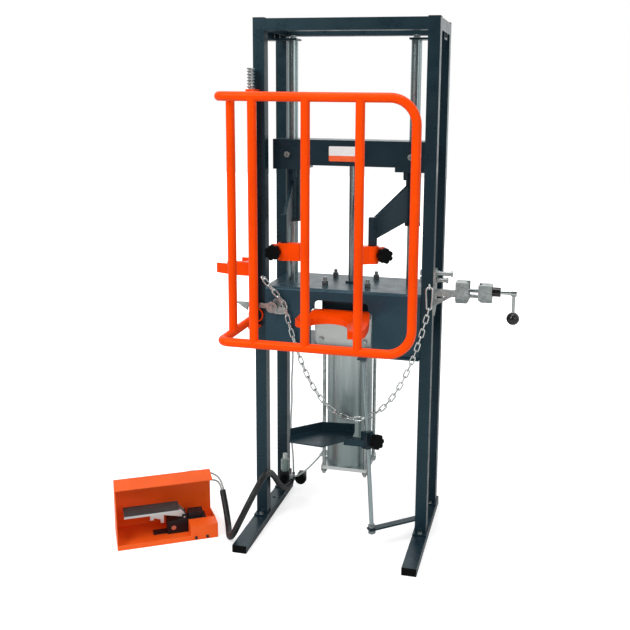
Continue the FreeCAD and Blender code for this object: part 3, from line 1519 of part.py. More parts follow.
def pedal_housing():
    t = pedal_sheet
    long = pedal_length
    deep = pedal_depth
    high = pedal_height
    hood_y = deep - pedal_hood_depth
    hood_z = high - pedal_hood_drop
    floor = box(0, long, 0, deep, 0, t)
    lip = box(0, long - pedal_box_length, 0, t, 0, pedal_front_lip)
    back = box(0, long, deep - t, deep, 0, high)
    hood = prism([V(0, deep, high), V(0, hood_y, hood_z), V(0, hood_y, hood_z - t), V(0, deep, high - t)],
                 V(long, 0, 0))
    side = prism([V(0, 0, 0), V(0, 0, pedal_front_lip), V(0, hood_y, hood_z), V(0, deep, high), V(0, deep, 0)],
                 V(t, 0, 0))
    x0 = long - pedal_box_length
    cover = box(x0, long, 0, pedal_box_depth, 0, pedal_box_height)
    cover = cover.cut(box(x0 + t, long - t, t, pedal_box_depth, t, pedal_box_height - t))
    wall = prism([V(long - t, pedal_box_depth, 0), V(long - t, pedal_box_depth, pedal_box_height),
                  V(long - t, deep, pedal_box_height - pedal_end_drop), V(long - t, deep, 0)], V(t, 0, 0))
    return floor.fuse([lip, back, hood, side, cover, wall]).removeSplitter()


def pedal_valve():
    """The valve body on the box's floor, with the pilot block on it and the ears of the tread."""
    t = pedal_sheet
    v0 = pedal_valve_back
    v1 = v0 + valve_body_width
    start = pedal_valve_start
    top = t + valve_body_height
    body = box(start, start + valve_body_length, v0, v1, t, top)
    stand = box(start - pedal_stand_length, start, v0 + pedal_stand_inset, v1 - pedal_stand_inset,
                t, t + pedal_stand_height)
    pilot_u = start + pilot_start
    pilot = box(pilot_u, pilot_u + pilot_length, v0 + pilot_inset, v1 - pilot_inset, top, top + pilot_height)
    ears = [box(tread_pivot - ear_half_width, tread_pivot + ear_half_width, v, v + ear_thickness, top - ear_sink,
                tread_pivot_height + ear_half_width) for v in (v0, v1 - ear_thickness)]
    body = body.fuse([stand, pilot] + ears).removeSplitter()
    return body.cut(rod(V(tread_pivot, v0, tread_pivot_height), Y, tread_pin_radius, valve_body_width))


def pedal_tread():
    """The tread drawn about its pivot: a plate with a front apron on two cheeks with hanging plates."""
    left = tread_start - tread_pivot
    right = left + tread_length
    top = tread_height - tread_pivot_height
    half = tread_width / 2
    plate = box(left, right, -half, half, top - tread_thickness, top)
    apron = box(left, right, -half, tread_apron - half, top - tread_edge, top)
    inner = valve_body_width / 2 - ear_thickness - tread_hub_play
    hub = rod(V(0, -inner, 0), Y, tread_hub_radius, 2 * inner)
    near, far = tread_hanger
    cheek_top = top - tread_cheek_sink
    cheeks = []
    for v in (-inner, inner - tread_cheek):
        arm = [V(-tread_hub_radius, v, 0), V(0, v, -tread_cheek_foot), V(tread_hub_radius, v, 0),
               V(0, v, tread_cheek_head), V(right, v, cheek_top), V(-near, v, cheek_top),
               V(-near, v, tread_cheek_head)]
        hanger = [V(-near, v, cheek_top), V(-near, v, -tread_hanger_drop),
                  V(-near - tread_hanger_notch, v, -tread_hanger_drop), V(-near - tread_hanger_notch, v, 0),
                  V(tread_hanger_notch - far, v, tread_hanger_drop / 2),
                  V(tread_hanger_notch - far, v, 0), V(-far, v, 0), V(-far, v, cheek_top)]
        cheeks += [prism(outline, V(0, tread_cheek, 0)) for outline in (arm, hanger)]
    pin = rod(V(0, -valve_body_width / 2, 0), Y, tread_pin_radius - running_fit, valve_body_width)
    lever = plate.fuse([apron, hub, pin] + cheeks).removeSplitter()
    lever.translate(V(tread_pivot, pedal_valve_back + valve_body_width / 2, tread_pivot_height))
    return lever


def pedal_screw_shapes():
    for place in pedal_screw_places:
        seat = V(pedal_length - pedal_box_length + place, 0, pedal_screw_height)
        yield rod(seat, -Y, pedal_screw_radius, pedal_screw_head)
    seat = V(pedal_length, pedal_box_depth / 2, pedal_side_screw_height)
    yield rod(seat, X, pedal_screw_radius, pedal_screw_head)


def build_pedal():
    add("pedal_housing", on_pedal(pedal_housing()))
    add("pedal_valve", on_pedal(pedal_valve()))
    add("pedal_tread", on_pedal(pedal_tread()))
    add("pedal_screws", *[on_pedal(screw) for screw in pedal_screw_shapes()])
    for u, z in pedal_ports:
        port = rod(V(u, pedal_depth, z), Y, tube_radius + pedal_port_wall, pedal_port_reach)
        add("air_fittings", on_pedal(port))


# ---------------------------------------------------------------- cords

hose_points = [hose_outlet(0), hose_outlet(hose_lead), V(-241, -46, 92), V(-245, -102, 154),
               V(-241, -166, 204), V(-243, -236, 212), V(-256, -288, 176), V(-283, -323, 112),
               V(-330, -325, 11.25), V(-374, -222, 11.25), V(-398, -184, 58), V(-421, -155, 107)]
upper_tube_points = [V(338, 188, 152), V(298, 212, 152), V(262, 234, 146), V(225, 214, 138)]
lower_tube_points = [V(346, 180, 127), V(314, 206, 117), V(280, 230, 108), V(250, 210, 100)]
supply_points = [V(-150, 0, upper_port.z), V(-192, 60, 784), V(-220, 112, 744), V(-241, 130, 680),
                 V(-249, 124, 600), V(-245, 120, 520), V(-250, 116, 440), V(-246, 110, 360),
                 V(-249, 100, 290), V(-243, 90, 220), V(-231, 78, 150)]
cylinder_points = [V(-132, 5, 174), V(-166, 12, 136), V(-200, 22, 107)]


def build_cords():
    add("air_hose", swept_tube("air_hose", hose_points, hose_radius))
    along = (hose_points[-1] - hose_points[-2]).normalize()
    aside = along.cross(Z).normalize() * (tube_radius + tube_gap)
    for name, way, lead, route, port in (
            ("pedal_tube_upper", 1, tube_lead, upper_tube_points, pedal_ports[0]),
            ("pedal_tube_lower", -1, lower_tube_lead, lower_tube_points, pedal_ports[1])):
        start = hose_points[-1] + aside * way
        end = pedal_point(port[0], pedal_depth + pedal_port_reach, port[1])
        points = [start, start + along * lead] + [pedal_point(p.x, p.y, p.z) for p in route] + [end]
        add(name, swept_tube(name, points, tube_radius))
    top = upper_port - X * port_length
    add("supply_tube", swept_tube("supply_tube", [top] + supply_points + [supply_outlet()], tube_radius))
    low = elbow_end(lower_port, -X, elbow_turn)
    far = cylinder_outlet()
    points = [low] + cylinder_points + [far + V(outlet_turn).normalize() * outlet_lead, far]
    add("cylinder_tube", swept_tube("cylinder_tube", points, tube_radius))


def build_all():
    build_frame()
    build_beam()
    build_cylinder()
    build_crosshead()
    build_arms()
    build_fork()
    build_shelf()
    build_guard()
    build_vise()
    build_left_side()
    build_chain()
    build_air_unit()
    build_pedal()
    build_cords()


build_all()
os.makedirs("parts", exist_ok=True)
for name, solids in parts.items():
    Part.makeCompound(solids).exportStep("parts/" + name + ".step")
print(len(parts), "nodes")
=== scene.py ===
import json
import math

import bmesh
import bpy
from mathutils import Matrix, Vector


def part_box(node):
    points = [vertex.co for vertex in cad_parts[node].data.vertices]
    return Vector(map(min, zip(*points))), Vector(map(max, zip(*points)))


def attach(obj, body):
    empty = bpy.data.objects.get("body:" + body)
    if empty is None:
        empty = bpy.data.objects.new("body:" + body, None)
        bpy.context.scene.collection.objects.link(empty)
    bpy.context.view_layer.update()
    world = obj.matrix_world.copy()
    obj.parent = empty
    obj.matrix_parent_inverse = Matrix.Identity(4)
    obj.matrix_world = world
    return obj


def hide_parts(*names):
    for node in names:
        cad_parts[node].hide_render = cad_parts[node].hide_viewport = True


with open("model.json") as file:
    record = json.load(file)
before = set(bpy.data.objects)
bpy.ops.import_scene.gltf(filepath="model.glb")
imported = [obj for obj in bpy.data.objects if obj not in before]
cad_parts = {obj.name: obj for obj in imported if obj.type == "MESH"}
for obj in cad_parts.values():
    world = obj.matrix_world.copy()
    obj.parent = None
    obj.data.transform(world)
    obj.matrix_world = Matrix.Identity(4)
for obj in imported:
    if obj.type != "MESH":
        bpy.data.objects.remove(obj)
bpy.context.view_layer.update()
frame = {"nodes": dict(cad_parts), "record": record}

# Looks for the air-operated coil-spring compressor. Metres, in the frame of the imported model.

nodes = frame["nodes"]
scene = bpy.context.scene

# ---------------------------------------------------------------- camera

YAW = math.radians(13.274)
PITCH = math.radians(10.6)
ROLL = math.radians(0.644)
CAMERA_PLACE = (0.6562, -2.8164, 1.4574)
SENSOR_WIDTH = 36.0             # millimetres, like the lens
LENS = 49.21
SHIFT = (-0.0541, -0.0824)      # shares of the picture

forward = Vector((-math.sin(YAW) * math.cos(PITCH), math.cos(YAW) * math.cos(PITCH), -math.sin(PITCH)))
level = forward.cross(Vector((0, 0, 1))).normalized()
upright = level.cross(forward)
right = math.cos(ROLL) * level + math.sin(ROLL) * upright
up = math.cos(ROLL) * upright - math.sin(ROLL) * level
camera_data = bpy.data.cameras.new("camera")
camera_data.sensor_width = SENSOR_WIDTH
camera_data.lens = LENS
camera_data.shift_x, camera_data.shift_y = SHIFT
camera_data.clip_start = 0.05
camera_data.clip_end = 60.0
camera = bpy.data.objects.new("camera", camera_data)
camera.matrix_world = Matrix((
    (right.x, up.x, -forward.x, CAMERA_PLACE[0]),
    (right.y, up.y, -forward.y, CAMERA_PLACE[1]),
    (right.z, up.z, -forward.z, CAMERA_PLACE[2]),
    (0, 0, 0, 1)))
scene.collection.objects.link(camera)
scene.camera = camera


# ---------------------------------------------------------------- materials

class Shader:
    """One Principled material and short ways to add nodes to it."""

    def __init__(self, name):
        self.material = bpy.data.materials.new(name)
        self.material.use_nodes = True
        self.tree = self.material.node_tree
        self.bsdf = self.tree.nodes["Principled BSDF"]
        coordinates = self.node("ShaderNodeTexCoord")
        self.place = coordinates.outputs["Object"]
        self.facing = coordinates.outputs["Normal"]

    def node(self, kind, **values):
        made = self.tree.nodes.new(kind)
        for key, value in values.items():
            setattr(made, key, value)
        return made

    def link(self, source, target):
        self.tree.links.new(source, target)

    def stretched(self, scale):
        mapping = self.node("ShaderNodeMapping")
        mapping.inputs["Scale"].default_value = scale
        self.link(self.place, mapping.inputs["Vector"])
        return mapping.outputs["Vector"]

    def noise(self, scale, detail=2.0, along=(1, 1, 1)):
        made = self.node("ShaderNodeTexNoise")
        made.inputs["Scale"].default_value = scale
        made.inputs["Detail"].default_value = detail
        self.link(self.stretched(along), made.inputs["Vector"])
        return made.outputs["Fac"]

    def spread(self, value, low, high, to_low, to_high):
        made = self.node("ShaderNodeMapRange")
        made.inputs["From Min"].default_value = low
        made.inputs["From Max"].default_value = high
        made.inputs["To Min"].default_value = to_low
        made.inputs["To Max"].default_value = to_high
        self.link(value, made.inputs["Value"])
        return made.outputs["Result"]

    def mix(self, amount, first, second):
        made = self.node("ShaderNodeMix", data_type="RGBA")
        for source, socket in ((amount, made.inputs[0]), (first, made.inputs[6]), (second, made.inputs[7])):
            if isinstance(source, bpy.types.NodeSocket):
                self.link(source, socket)
            elif isinstance(source, tuple):
                socket.default_value = (*source, 1.0)
            else:
                socket.default_value = source
        return made.outputs[2]

    def axis(self, source, letter):
        made = self.node("ShaderNodeSeparateXYZ")
        self.link(source, made.inputs[0])
        return made.outputs[letter]

    def above(self, value, limit):
        made = self.node("ShaderNodeMath", operation="GREATER_THAN")
        self.link(value, made.inputs[0])
        made.inputs[1].default_value = limit
        return made.outputs[0]

    def beyond(self, point, radius):
        made = self.node("ShaderNodeVectorMath", operation="DISTANCE")
        self.link(self.place, made.inputs[0])
        made.inputs[1].default_value = point
        return self.above(made.outputs["Value"], radius)

    def join(self, mask, other):
        """Where the mask is 1 the other Principled shader takes over."""
        both = self.node("ShaderNodeMixShader")
        self.link(mask, both.inputs[0])
        self.link(self.bsdf.outputs[0], both.inputs[1])
        self.link(other.outputs[0], both.inputs[2])
        self.link(both.outputs[0], self.tree.nodes["Material Output"].inputs["Surface"])

    def edges(self, radius, gain):
        """How much a point lies on an edge that is rounded by the radius."""
        bevel = self.node("ShaderNodeBevel", samples=4)
        bevel.inputs["Radius"].default_value = radius
        geometry = self.node("ShaderNodeNewGeometry")
        dot = self.node("ShaderNodeVectorMath", operation="DOT_PRODUCT")
        self.link(bevel.outputs["Normal"], dot.inputs[0])
        self.link(geometry.outputs["Normal"], dot.inputs[1])
        return bevel.outputs["Normal"], self.spread(dot.outputs["Value"], 1.0, 1.0 - 1.0 / gain, 0.0, 1.0)

    def bump(self, height, strength, distance, normal=None):
        made = self.node("ShaderNodeBump")
        made.inputs["Strength"].default_value = strength
        made.inputs["Distance"].default_value = distance
        self.link(height, made.inputs["Height"])
        if normal is not None:
            self.link(normal, made.inputs["Normal"])
        return made.outputs["Normal"]

    def set(self, **values):
        names = {"base": "Base Color", "rough": "Roughness", "metal": "Metallic", "normal": "Normal",
                 "specular": "Specular IOR Level",
                 "clear": "Transmission Weight", "tint": "Specular Tint"}
        for key, value in values.items():
            socket = self.bsdf.inputs[names[key]]
            if isinstance(value, bpy.types.NodeSocket):
                self.link(value, socket)
            elif isinstance(value, tuple):
                socket.default_value = (*value, 1.0)
            else:
                socket.default_value = value
        return self


def started(name):
    return name if isinstance(name, Shader) else Shader(name)


def painted(name, colour, edge_wear_and_highlight_colour, rough, specular, edge=0.0012, texture=620.0, bump=0.12,
            tint=(1.0, 1.0, 1.0)):
    """Powder coat: fine orange peel, slow changes of tone, and paler edges that are partly worn thin paint and
    partly a painted highlight on the rounded edges.
    """
    s = started(name)
    tone = s.noise(5.0, 3.0)
    dark = tuple(c * 0.86 for c in colour)
    light = tuple(min(1.0, c * 1.1) for c in colour)
    body = s.mix(s.spread(tone, 0.35, 0.65, 0.0, 1.0), dark, light)
    rounded, mask = s.edges(edge, 5.0)
    # paler edges: partly real wear and thin paint, partly a painted highlight where light catches the rounded
    # edge
    worn_and_highlit = s.node("ShaderNodeMath", operation="MULTIPLY")
    s.link(mask, worn_and_highlit.inputs[0])
    s.link(s.spread(s.noise(60.0, 4.0), 0.35, 0.7, 0.35, 1.0), worn_and_highlit.inputs[1])
    peel = s.noise(texture, 2.0)
    s.set(base=s.mix(worn_and_highlit.outputs[0], body, edge_wear_and_highlight_colour),
          rough=s.spread(s.noise(24.0, 3.0), 0.3, 0.7, rough - 0.05, rough + 0.07),
          specular=specular, tint=tint,
          normal=s.bump(peel, bump, 0.0004, rounded))
    return s.material


def zinc(name, colour, dark, rough, scale=130.0, edge=0.0008):
    """Zinc-plated or galvanised steel: small crystals that differ in tone and gloss."""
    s = started(name)
    cells = s.node("ShaderNodeTexVoronoi")
    cells.inputs["Scale"].default_value = scale
    s.link(s.place, cells.inputs["Vector"])
    grey = s.node("ShaderNodeRGBToBW")
    s.link(cells.outputs["Color"], grey.inputs["Color"])
    crystal = grey.outputs["Val"]
    cloud = s.noise(35.0, 4.0)
    tone = s.mix(s.spread(crystal, 0.1, 0.9, 0.0, 0.6), colour, dark)
    rounded, mask = s.edges(edge, 4.0)
    s.set(base=s.mix(s.spread(cloud, 0.45, 0.75, 0.0, 0.5), tone, dark), metal=1.0,
          rough=s.spread(crystal, 0.0, 1.0, rough - 0.08, rough + 0.1),
          normal=s.bump(s.noise(900.0, 2.0), 0.12, 0.0002, rounded))
    return s.material


def drawn(name, colour, rough, along, scale=240.0, depth=0.12, cloud_tone=0.8, edge=0.0006,
          painted_highlight=None):
    """Ground, drawn or turned metal with fine lines along one direction, and, where given, a painted highlight
    as another tone higher up.
    """
    s = started(name)
    lines = s.noise(scale, 4.0, along)
    cloud = s.noise(7.0, 3.0, tuple(max(0.3, a) for a in along))
    dull = tuple(c * cloud_tone for c in colour)
    tone = s.mix(s.spread(cloud, 0.35, 0.7, 0.0, 1.0), colour, dull)
    tone = s.mix(s.spread(lines, 0.35, 0.65, 0.0, 0.35), tone, dull)
    if painted_highlight:
        from_height, to_height, painted_highlight_colour = painted_highlight
        # painted highlight: the upper tone is blended in between the two heights
        tone = s.mix(s.spread(s.axis(s.place, "Z"), from_height, to_height, 0.0, 1.0), tone, painted_highlight_colour)
    rounded, mask = s.edges(edge, 4.0)
    s.set(base=tone, metal=1.0, rough=s.spread(lines, 0.3, 0.7, rough - 0.06, rough + 0.08),
          normal=s.bump(lines, depth, 0.0002, rounded))
    return s.material


def moulded(name, colour, rough, specular=0.4, grain=1400.0, depth=0.25, edge=0.0008, clear=0.0):
    """Moulded plastic or rubber with a fine grain and dust-pale edges."""
    s = started(name)
    pale = tuple(min(1.0, c * 1.5 + 0.002) for c in colour)
    body = s.mix(s.spread(s.noise(22.0, 4.0), 0.35, 0.75, 0.0, 0.7), colour, pale)
    rounded, mask = s.edges(edge, 3.0)
    s.set(base=s.mix(s.spread(mask, 0.0, 1.0, 0.0, 0.5), body, pale),
          rough=s.spread(s.noise(60.0, 3.0), 0.3, 0.7, rough - 0.06, rough + 0.08), specular=specular,
          clear=clear, normal=s.bump(s.noise(grain, 2.0), depth, 0.0002, rounded))
    return s.material


def two_finishes(name, mask, first, second):
    """One material with the first finish where the mask is 0 and the second where it is 1."""
    s = Shader(name)
    kept = s.bsdf
    s.bsdf = s.node("ShaderNodeBsdfPrincipled")
    second(s)
    other = s.bsdf
    s.bsdf = kept
    first(s)
    s.join(mask(s), other)
    return s.material


def anthracite(name, share=1.0):
    colour = tuple(c * share for c in (0.0075, 0.0190, 0.0275))
    return painted(name, colour, (0.030, 0.055, 0.070), 0.30, 0.42, tint=(0.55, 0.88, 1.0))


def aluminium(name):
    return drawn(name, (0.66, 0.70, 0.69), 0.36, (0.5, 1, 1), scale=320.0, depth=0.2)


def valve_black(name):
    return moulded(name, (0.006, 0.008, 0.010), 0.36, specular=0.3, grain=900.0)


def chrome(name):
    return drawn(name, (0.52, 0.57, 0.57), 0.18, (1, 1, 0.05), depth=0.04, cloud_tone=0.86)


def glossy_black(name):
    return moulded(name, (0.004, 0.0045, 0.005), 0.16, specular=0.5, grain=300.0, depth=0.02)


BEAM_LIGHT_SHARE = 2.2                # painted light: tone of the beam against the rest of the frame, a lighter copy of the same anthracite that stands in for the light on the beam
ANTHRACITE = anthracite("anthracite_paint")
# painted light: the beam is given a lighter copy of the frame's anthracite, for the light that falls on its top
# and front
LIT_BEAM_PAINT = anthracite("anthracite_beam_painted_light", BEAM_LIGHT_SHARE)
ORANGE = painted("orange_paint", (1.0, 0.064, 0.0002), (1.0, 0.15, 0.03), 0.34, 0.30, tint=(1.0, 0.45, 0.20))
# painted light: a lighter copy of the orange paint on the pedal housing, standing in for the light on its hood
LIT_ORANGE_COPY = painted("orange_paint_painted_light", (1.0, 0.120, 0.012), (1.0, 0.20, 0.06), 0.34, 0.40,
                      tint=(1.0, 0.70, 0.55))
DARK_CAST = painted("dark_cast_paint", (0.012, 0.019, 0.025), (0.06, 0.08, 0.09), 0.48, 0.30, bump=0.3)
BLACK_STEEL = painted("blackened_steel", (0.009, 0.011, 0.012), (0.12, 0.13, 0.13), 0.40, 0.40, edge=0.0010)
ZINC = zinc("zinc_plate", (0.48, 0.53, 0.52), (0.20, 0.23, 0.23), 0.34)
BRIGHT_ZINC = zinc("bright_zinc", (0.76, 0.80, 0.79), (0.36, 0.40, 0.40), 0.24, scale=260.0)
DARK_ZINC = zinc("dark_zinc", (0.30, 0.34, 0.34), (0.10, 0.12, 0.12), 0.30, scale=200.0)
ROD_STEEL = drawn("ground_rod_steel", (0.36, 0.44, 0.45), 0.26, (1, 1, 0.02), depth=0.04, cloud_tone=0.86)
# painted highlight: the barrel's upper part is given a paler tone for the light near its top
BARREL = drawn("drawn_barrel", (0.30, 0.37, 0.37), 0.40, (1, 1, 0.04), scale=180.0, depth=0.06, cloud_tone=0.90,
               painted_highlight=(0.46, 0.72, (0.66, 0.74, 0.72)))
HOLDER = drawn("zinc_holder_plate", (0.66, 0.72, 0.70), 0.44, (0.06, 1, 1), scale=200.0, cloud_tone=0.86)
BLACK = moulded("black_plastic", (0.0022, 0.0026, 0.0030), 0.46, specular=0.06)
VALVE_BLACK = valve_black("black_valve_plastic")
RUBBER = moulded("hose_rubber", (0.007, 0.009, 0.010), 0.42, specular=0.35, grain=500.0, depth=0.35)
CLEAR_TUBE = moulded("clear_grey_tube", (0.36, 0.41, 0.40), 0.22, specular=0.5, depth=0.05, clear=0.25)

CAP_SPLIT = 0.7
CAPS = two_finishes("cylinder_cap_finish", lambda s: s.above(s.axis(s.place, "Z"), CAP_SPLIT), aluminium,
                    lambda s: anthracite(s, 1.4))
BOWL_TOP = 0.1465
BOWL = two_finishes(
    "bowl_plastic", lambda s: s.above(s.axis(s.place, "Z"), BOWL_TOP),
    lambda s: moulded(s, (0.20, 0.27, 0.25), 0.18, specular=0.6, depth=0.05, clear=0.25),
    lambda s: moulded(s, (0.62, 0.68, 0.66), 0.14, specular=0.6, depth=0.05, clear=0.35))
FITTINGS = two_finishes("air_fitting_finish", lambda s: s.above(s.axis(s.place, "Z"), CAP_SPLIT),
                        lambda s: moulded(s, (0.36, 0.42, 0.41), 0.22, specular=0.5, depth=0.05), valve_black)
TEE_PLACE = (-0.231, 0.078, 0.072)
TEE_REACH = 0.019
UNIT = two_finishes("air_unit_finish", lambda s: s.beyond(TEE_PLACE, TEE_REACH),
                    lambda s: moulded(s, (0.42, 0.48, 0.47), 0.22, specular=0.5, depth=0.05), valve_black)
BALL_PLACE = (0.5543, -0.117, 0.788)
BALL_RADIUS = 0.0208
HANDLE = two_finishes("vise_handle_finish", lambda s: s.beyond(BALL_PLACE, BALL_RADIUS), glossy_black, chrome)
COLLAR_END = 0.5132
NUT = two_finishes("vise_nut_finish", lambda s: s.above(s.axis(s.place, "X"), COLLAR_END), glossy_black, chrome)
FACING_UP = 0.7                 # of the normal's Z, on the top of the tread
TREAD = two_finishes("tread_finish", lambda s: s.above(s.axis(s.facing, "Z"), FACING_UP), aluminium,
                     lambda s: moulded(s, (0.030, 0.040, 0.040), 0.45, specular=0.35))
VALVE_ROUND = (-0.540, -0.304, 0.0235)
ROUND_RADIUS = 0.008
PEDAL_VALVE = two_finishes("pedal_valve_finish", lambda s: s.beyond(VALVE_ROUND, ROUND_RADIUS), aluminium,
                           valve_black)

finishes = {
    "frame_paint": ANTHRACITE, "black_plastic": BLACK, "galvanised_steel": ZINC, "rod_steel": ROD_STEEL,
    "cylinder_steel": BARREL, "dark_cast": DARK_CAST, "holder_plate": HOLDER, "orange_paint": ORANGE,
    "black_steel": BLACK_STEEL, "valve_black": VALVE_BLACK, "bowl_plastic": BOWL, "hose_rubber": RUBBER,
    "tube_plastic": CLEAR_TUBE}
own_finish = {
    "safety_chain": BRIGHT_ZINC, "snap_hook": BRIGHT_ZINC, "snap_gate": BRIGHT_ZINC, "vise_handle": HANDLE,
    "vise_nut": NUT, "hex_nuts": DARK_ZINC, "main_beam": LIT_BEAM_PAINT, "cylinder_end_caps": CAPS, "pedal_tread": TREAD,
    "pedal_valve": PEDAL_VALVE, "filter_regulator": UNIT, "vise_screw": DARK_ZINC, "pedal_housing": LIT_ORANGE_COPY,
    "air_fittings": FITTINGS}

for part in frame["record"]["subparts"]:
    node = nodes[part["node"]]
    finish = own_finish.get(part["node"], finishes[part["material_slot"]])
    node.data.materials.clear()
    node.data.materials.append(finish)


# ---------------------------------------------------------------- cords

def cord(name, points, diameter, finish, node):
    curve = bpy.data.curves.new(name, "CURVE")
    curve.dimensions = "3D"
    curve.bevel_depth = diameter / 2
    curve.bevel_resolution = 6
    curve.use_fill_caps = True
    spline = curve.splines.new("NURBS")
    spline.points.add(len(points) - 1)
    for control, place in zip(spline.points, points):
        control.co = (place[0] / 1000, place[1] / 1000, place[2] / 1000, 1.0)
    spline.order_u = 3
    spline.use_endpoint_u = True
    spline.resolution_u = 16
    piece = bpy.data.objects.new(name, curve)
    scene.collection.objects.link(piece)
    curve.materials.append(finish)
    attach(piece, "root")
    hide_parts(node)


HOSE_ROUTE = ((-231.8, 50.2, 68.9), (-233.2, 6.5, 64.1), (-241, -46, 92), (-245, -102, 154), (-241, -166, 204),
              (-243, -236, 212), (-256, -288, 176), (-283, -323, 112), (-330, -325, 11.25),
              (-374, -222, 11.25), (-398, -184, 58), (-421, -155, 107))
UPPER_ROUTE = ((-418.2, -152.8, 107), (-433.2, -133.9, 138.9), (-478.4, -119.4, 152), (-525.1, -119.8, 152),
               (-567.3, -119.8, 146), (-588.4, -156.1, 138), (-570.7, -185.1, 138))
LOWER_ROUTE = ((-423.8, -157.2, 107), (-433.9, -144.4, 128.5), (-467.5, -122.1, 127), (-508.3, -116.6, 117),
               (-549.8, -113.8, 108), (-565, -146.5, 100), (-549.4, -172.1, 100))
SUPPLY_ROUTE = ((-101, 0, 786), (-150, 0, 786), (-192, 60, 784), (-220, 112, 744), (-241, 130, 680),
                (-249, 124, 600), (-245, 120, 520), (-250, 116, 440), (-246, 110, 360), (-249, 100, 290),
                (-243, 90, 220), (-231, 78, 150), (-231, 78, 94))
CYLINDER_ROUTE = ((-105.9, 1.3, 207.5), (-132, 5, 174), (-166, 12, 136), (-200, 22, 107), (-218.1, 41.2, 96.4),
                  (-223.7, 57.2, 85.8))

HOSE_DIAMETER = 0.021
TUBE_DIAMETER = 0.006

cord("hose", HOSE_ROUTE, HOSE_DIAMETER, RUBBER, "air_hose")
for name, route, length, lay, node in (
        ("upper_pedal_tube", UPPER_ROUTE, 0.2463, "loose", "pedal_tube_upper"),
        ("lower_pedal_tube", LOWER_ROUTE, 0.2103, "loose", "pedal_tube_lower"),
        ("supply_line", SUPPLY_ROUTE, 0.8457, "hanging", "supply_tube"),
        ("cylinder_line", CYLINDER_ROUTE, 0.1873, "hanging", "cylinder_tube")):
    cord(name, route, TUBE_DIAMETER, CLEAR_TUBE, node)


# ---------------------------------------------------------------- small pieces

def piece_from(name, mesh_data, finishes_used, body):
    mesh = bpy.data.meshes.new(name)
    mesh_data.to_mesh(mesh)
    mesh_data.free()
    for finish in finishes_used:
        mesh.materials.append(finish)
    piece = bpy.data.objects.new(name, mesh)
    scene.collection.objects.link(piece)
    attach(piece, body)
    return piece


def plain_tone(name, colour, rough):
    """Printed foil: a flat tone with a faint mottle and a soft clear film."""
    s = Shader(name)
    dull = tuple(c * 0.93 for c in colour)
    s.set(base=s.mix(s.spread(s.noise(90.0, 3.0), 0.35, 0.65, 0.0, 1.0), colour, dull),
          rough=s.spread(s.noise(40.0), 0.3, 0.7, rough - 0.04, rough + 0.05), specular=0.5,
          normal=s.bump(s.noise(1500.0), 0.05, 0.0001))
    return s.material


LABEL_WHITE = plain_tone("label_white", (0.82, 0.83, 0.82), 0.30)
LABEL_ORANGE = plain_tone("label_orange", (0.90, 0.13, 0.03), 0.30)


def label(name, x0, x1, z0, z1, front, split, thick, corner):
    """A bare foil plate on a face that looks along -Y: white above the split, orange below it."""
    data = bmesh.new()
    rows = (z0, z0 + corner, split, z1 - corner, z1)
    grid = []
    for z in rows:
        inset = corner if z in (z0, z1) else 0.0
        columns = (x0 + inset, x0 + corner, x1 - corner, x1 - inset)
        grid.append([data.verts.new((x, front - thick, z)) for x in columns])
    for low, high, z in zip(grid, grid[1:], rows):
        for k in range(3):
            corners = [low[k], low[k + 1], high[k + 1], high[k]]
            unique = list(dict.fromkeys(corners))
            face = data.faces.new(unique)
            face.material_index = 0 if z >= split - 1e-6 else 1
    bmesh.ops.remove_doubles(data, verts=data.verts, dist=1e-5)
    rim = bmesh.ops.extrude_edge_only(data, edges=[e for e in data.edges if e.is_boundary])
    for item in rim["geom"]:
        if isinstance(item, bmesh.types.BMVert):
            item.co.y = front
    bmesh.ops.recalc_face_normals(data, faces=data.faces)
    return piece_from(name, data, (LABEL_WHITE, LABEL_ORANGE), "crosshead")


low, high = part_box("crosshead_bar")
PLATE_SIDES = (-0.066, 0.050)
PLATE_HEIGHTS = (1.265, 1.314)
PLATE_SPLIT = 1.2835            # between the two colours
PLATE_THICK = 0.0006
PLATE_CORNER = 0.002
label("maker_plate", *PLATE_SIDES, *PLATE_HEIGHTS, low.y, PLATE_SPLIT, PLATE_THICK, PLATE_CORNER)


# ---------------------------------------------------------------- floor, world and lamps

def math_node(tree, operation, first, second):
    made = tree.nodes.new("ShaderNodeMath")
    made.operation = operation
    for value, socket in zip((first, second), made.inputs):
        if isinstance(value, bpy.types.NodeSocket):
            tree.links.new(value, socket)
        else:
            socket.default_value = value
    return made.outputs[0]


def map_node(tree, value, from_range, to_range):
    made = tree.nodes.new("ShaderNodeMapRange")
    made.inputs["From Min"].default_value, made.inputs["From Max"].default_value = from_range
    made.inputs["To Min"].default_value, made.inputs["To Max"].default_value = to_range
    tree.links.new(value, made.inputs["Value"])
    return made.outputs["Result"]


SKY_FILL = 0.46         # for diffuse rays
SKY_FRONT = 0.12        # for mirrored rays, towards the viewer's side
SKY_BACK = 1.15         # for mirrored rays, behind the press
SKY_LEAN = 0.35         # how much the bright side of the mirrored sky turns to the right
SKY_TURN = (-0.7, 0.8)  # of the leaning direction, from the front tone to the back tone

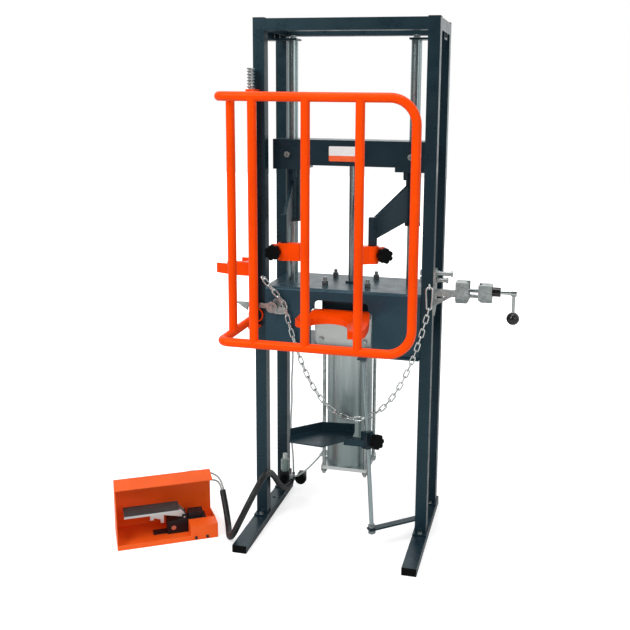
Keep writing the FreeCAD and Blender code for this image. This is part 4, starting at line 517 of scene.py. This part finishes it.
world = bpy.data.worlds.new("studio")
scene.world = world
world.use_nodes = True
world_tree = world.node_tree
background = world_tree.nodes["Background"]
background.inputs["Color"].default_value = (1, 1, 1, 1)
path = world_tree.nodes.new("ShaderNodeLightPath")
direction = world_tree.nodes.new("ShaderNodeTexCoord")
parts_of = world_tree.nodes.new("ShaderNodeSeparateXYZ")
world_tree.links.new(direction.outputs["Generated"], parts_of.inputs[0])
leaning = math_node(world_tree, "ADD", parts_of.outputs["Y"],
                    math_node(world_tree, "MULTIPLY", parts_of.outputs["X"], SKY_LEAN))
mirrored = map_node(world_tree, leaning, SKY_TURN, (SKY_FRONT - SKY_FILL, SKY_BACK - SKY_FILL))
strength = math_node(world_tree, "MULTIPLY", path.outputs["Is Glossy Ray"], mirrored)
strength = math_node(world_tree, "ADD", strength, SKY_FILL)
seen = math_node(world_tree, "MAXIMUM", path.outputs["Is Camera Ray"], path.outputs["Is Transmission Ray"])
strength = math_node(world_tree, "MAXIMUM", strength, seen)
world_tree.links.new(strength, background.inputs["Strength"])

floor_data = bmesh.new()
FLOOR_REACH = 14.0
bmesh.ops.create_grid(floor_data, x_segments=8, y_segments=8, size=FLOOR_REACH)
floor_mesh = bpy.data.meshes.new("floor")
floor_data.to_mesh(floor_mesh)
floor_data.free()
floor = bpy.data.objects.new("floor", floor_mesh)
floor.location = (0, 0, -0.0005)
scene.collection.objects.link(floor)

FLOOR_GLOW = (0.56, 1.1)        # under the press and far from it
GLOW_REACH = (0.9, 2.6)         # from the origin, where the glow starts and stops growing
FLOOR_TONE = (0.80, 0.80, 0.80, 1)

floor_finish = bpy.data.materials.new("studio_floor")
floor_finish.use_nodes = True
tree = floor_finish.node_tree
tree.nodes.clear()
diffuse = tree.nodes.new("ShaderNodeBsdfDiffuse")
diffuse.inputs["Color"].default_value = FLOOR_TONE
glow = tree.nodes.new("ShaderNodeEmission")
away = tree.nodes.new("ShaderNodeVectorMath")
away.operation = "LENGTH"
tree.links.new(tree.nodes.new("ShaderNodeTexCoord").outputs["Object"], away.inputs[0])
tree.links.new(map_node(tree, away.outputs["Value"], GLOW_REACH, FLOOR_GLOW), glow.inputs["Strength"])
add = tree.nodes.new("ShaderNodeAddShader")
choose = tree.nodes.new("ShaderNodeMixShader")
output = tree.nodes.new("ShaderNodeOutputMaterial")
path = tree.nodes.new("ShaderNodeLightPath")
seen = math_node(tree, "MAXIMUM", path.outputs["Is Camera Ray"], path.outputs["Is Transmission Ray"])
tree.links.new(diffuse.outputs[0], add.inputs[0])
tree.links.new(glow.outputs[0], add.inputs[1])
tree.links.new(seen, choose.inputs[0])
tree.links.new(diffuse.outputs[0], choose.inputs[1])
tree.links.new(add.outputs[0], choose.inputs[2])
tree.links.new(choose.outputs[0], output.inputs["Surface"])
floor_mesh.materials.append(floor_finish)


def lamp(name, place, target, size, watts):
    data = bpy.data.lights.new(name, "AREA")
    data.shape = "RECTANGLE"
    data.size, data.size_y = size
    data.energy = watts
    made = bpy.data.objects.new(name, data)
    made.location = place
    made.rotation_euler = (Vector(target) - Vector(place)).to_track_quat("-Z", "Y").to_euler()
    scene.collection.objects.link(made)


AIM = (0, 0, 0.8)               # the middle of the press, which all lamps look at
lamp("key", (-2.2, -3.6, 3.6), AIM, (2.4, 2.4), 120)
lamp("fill", (2.8, -3.0, 2.0), AIM, (2.5, 2.5), 30)
lamp("top", (0.0, -0.3, 4.6), AIM, (2.5, 2.5), 70)

scene.view_settings.view_transform = "Standard"
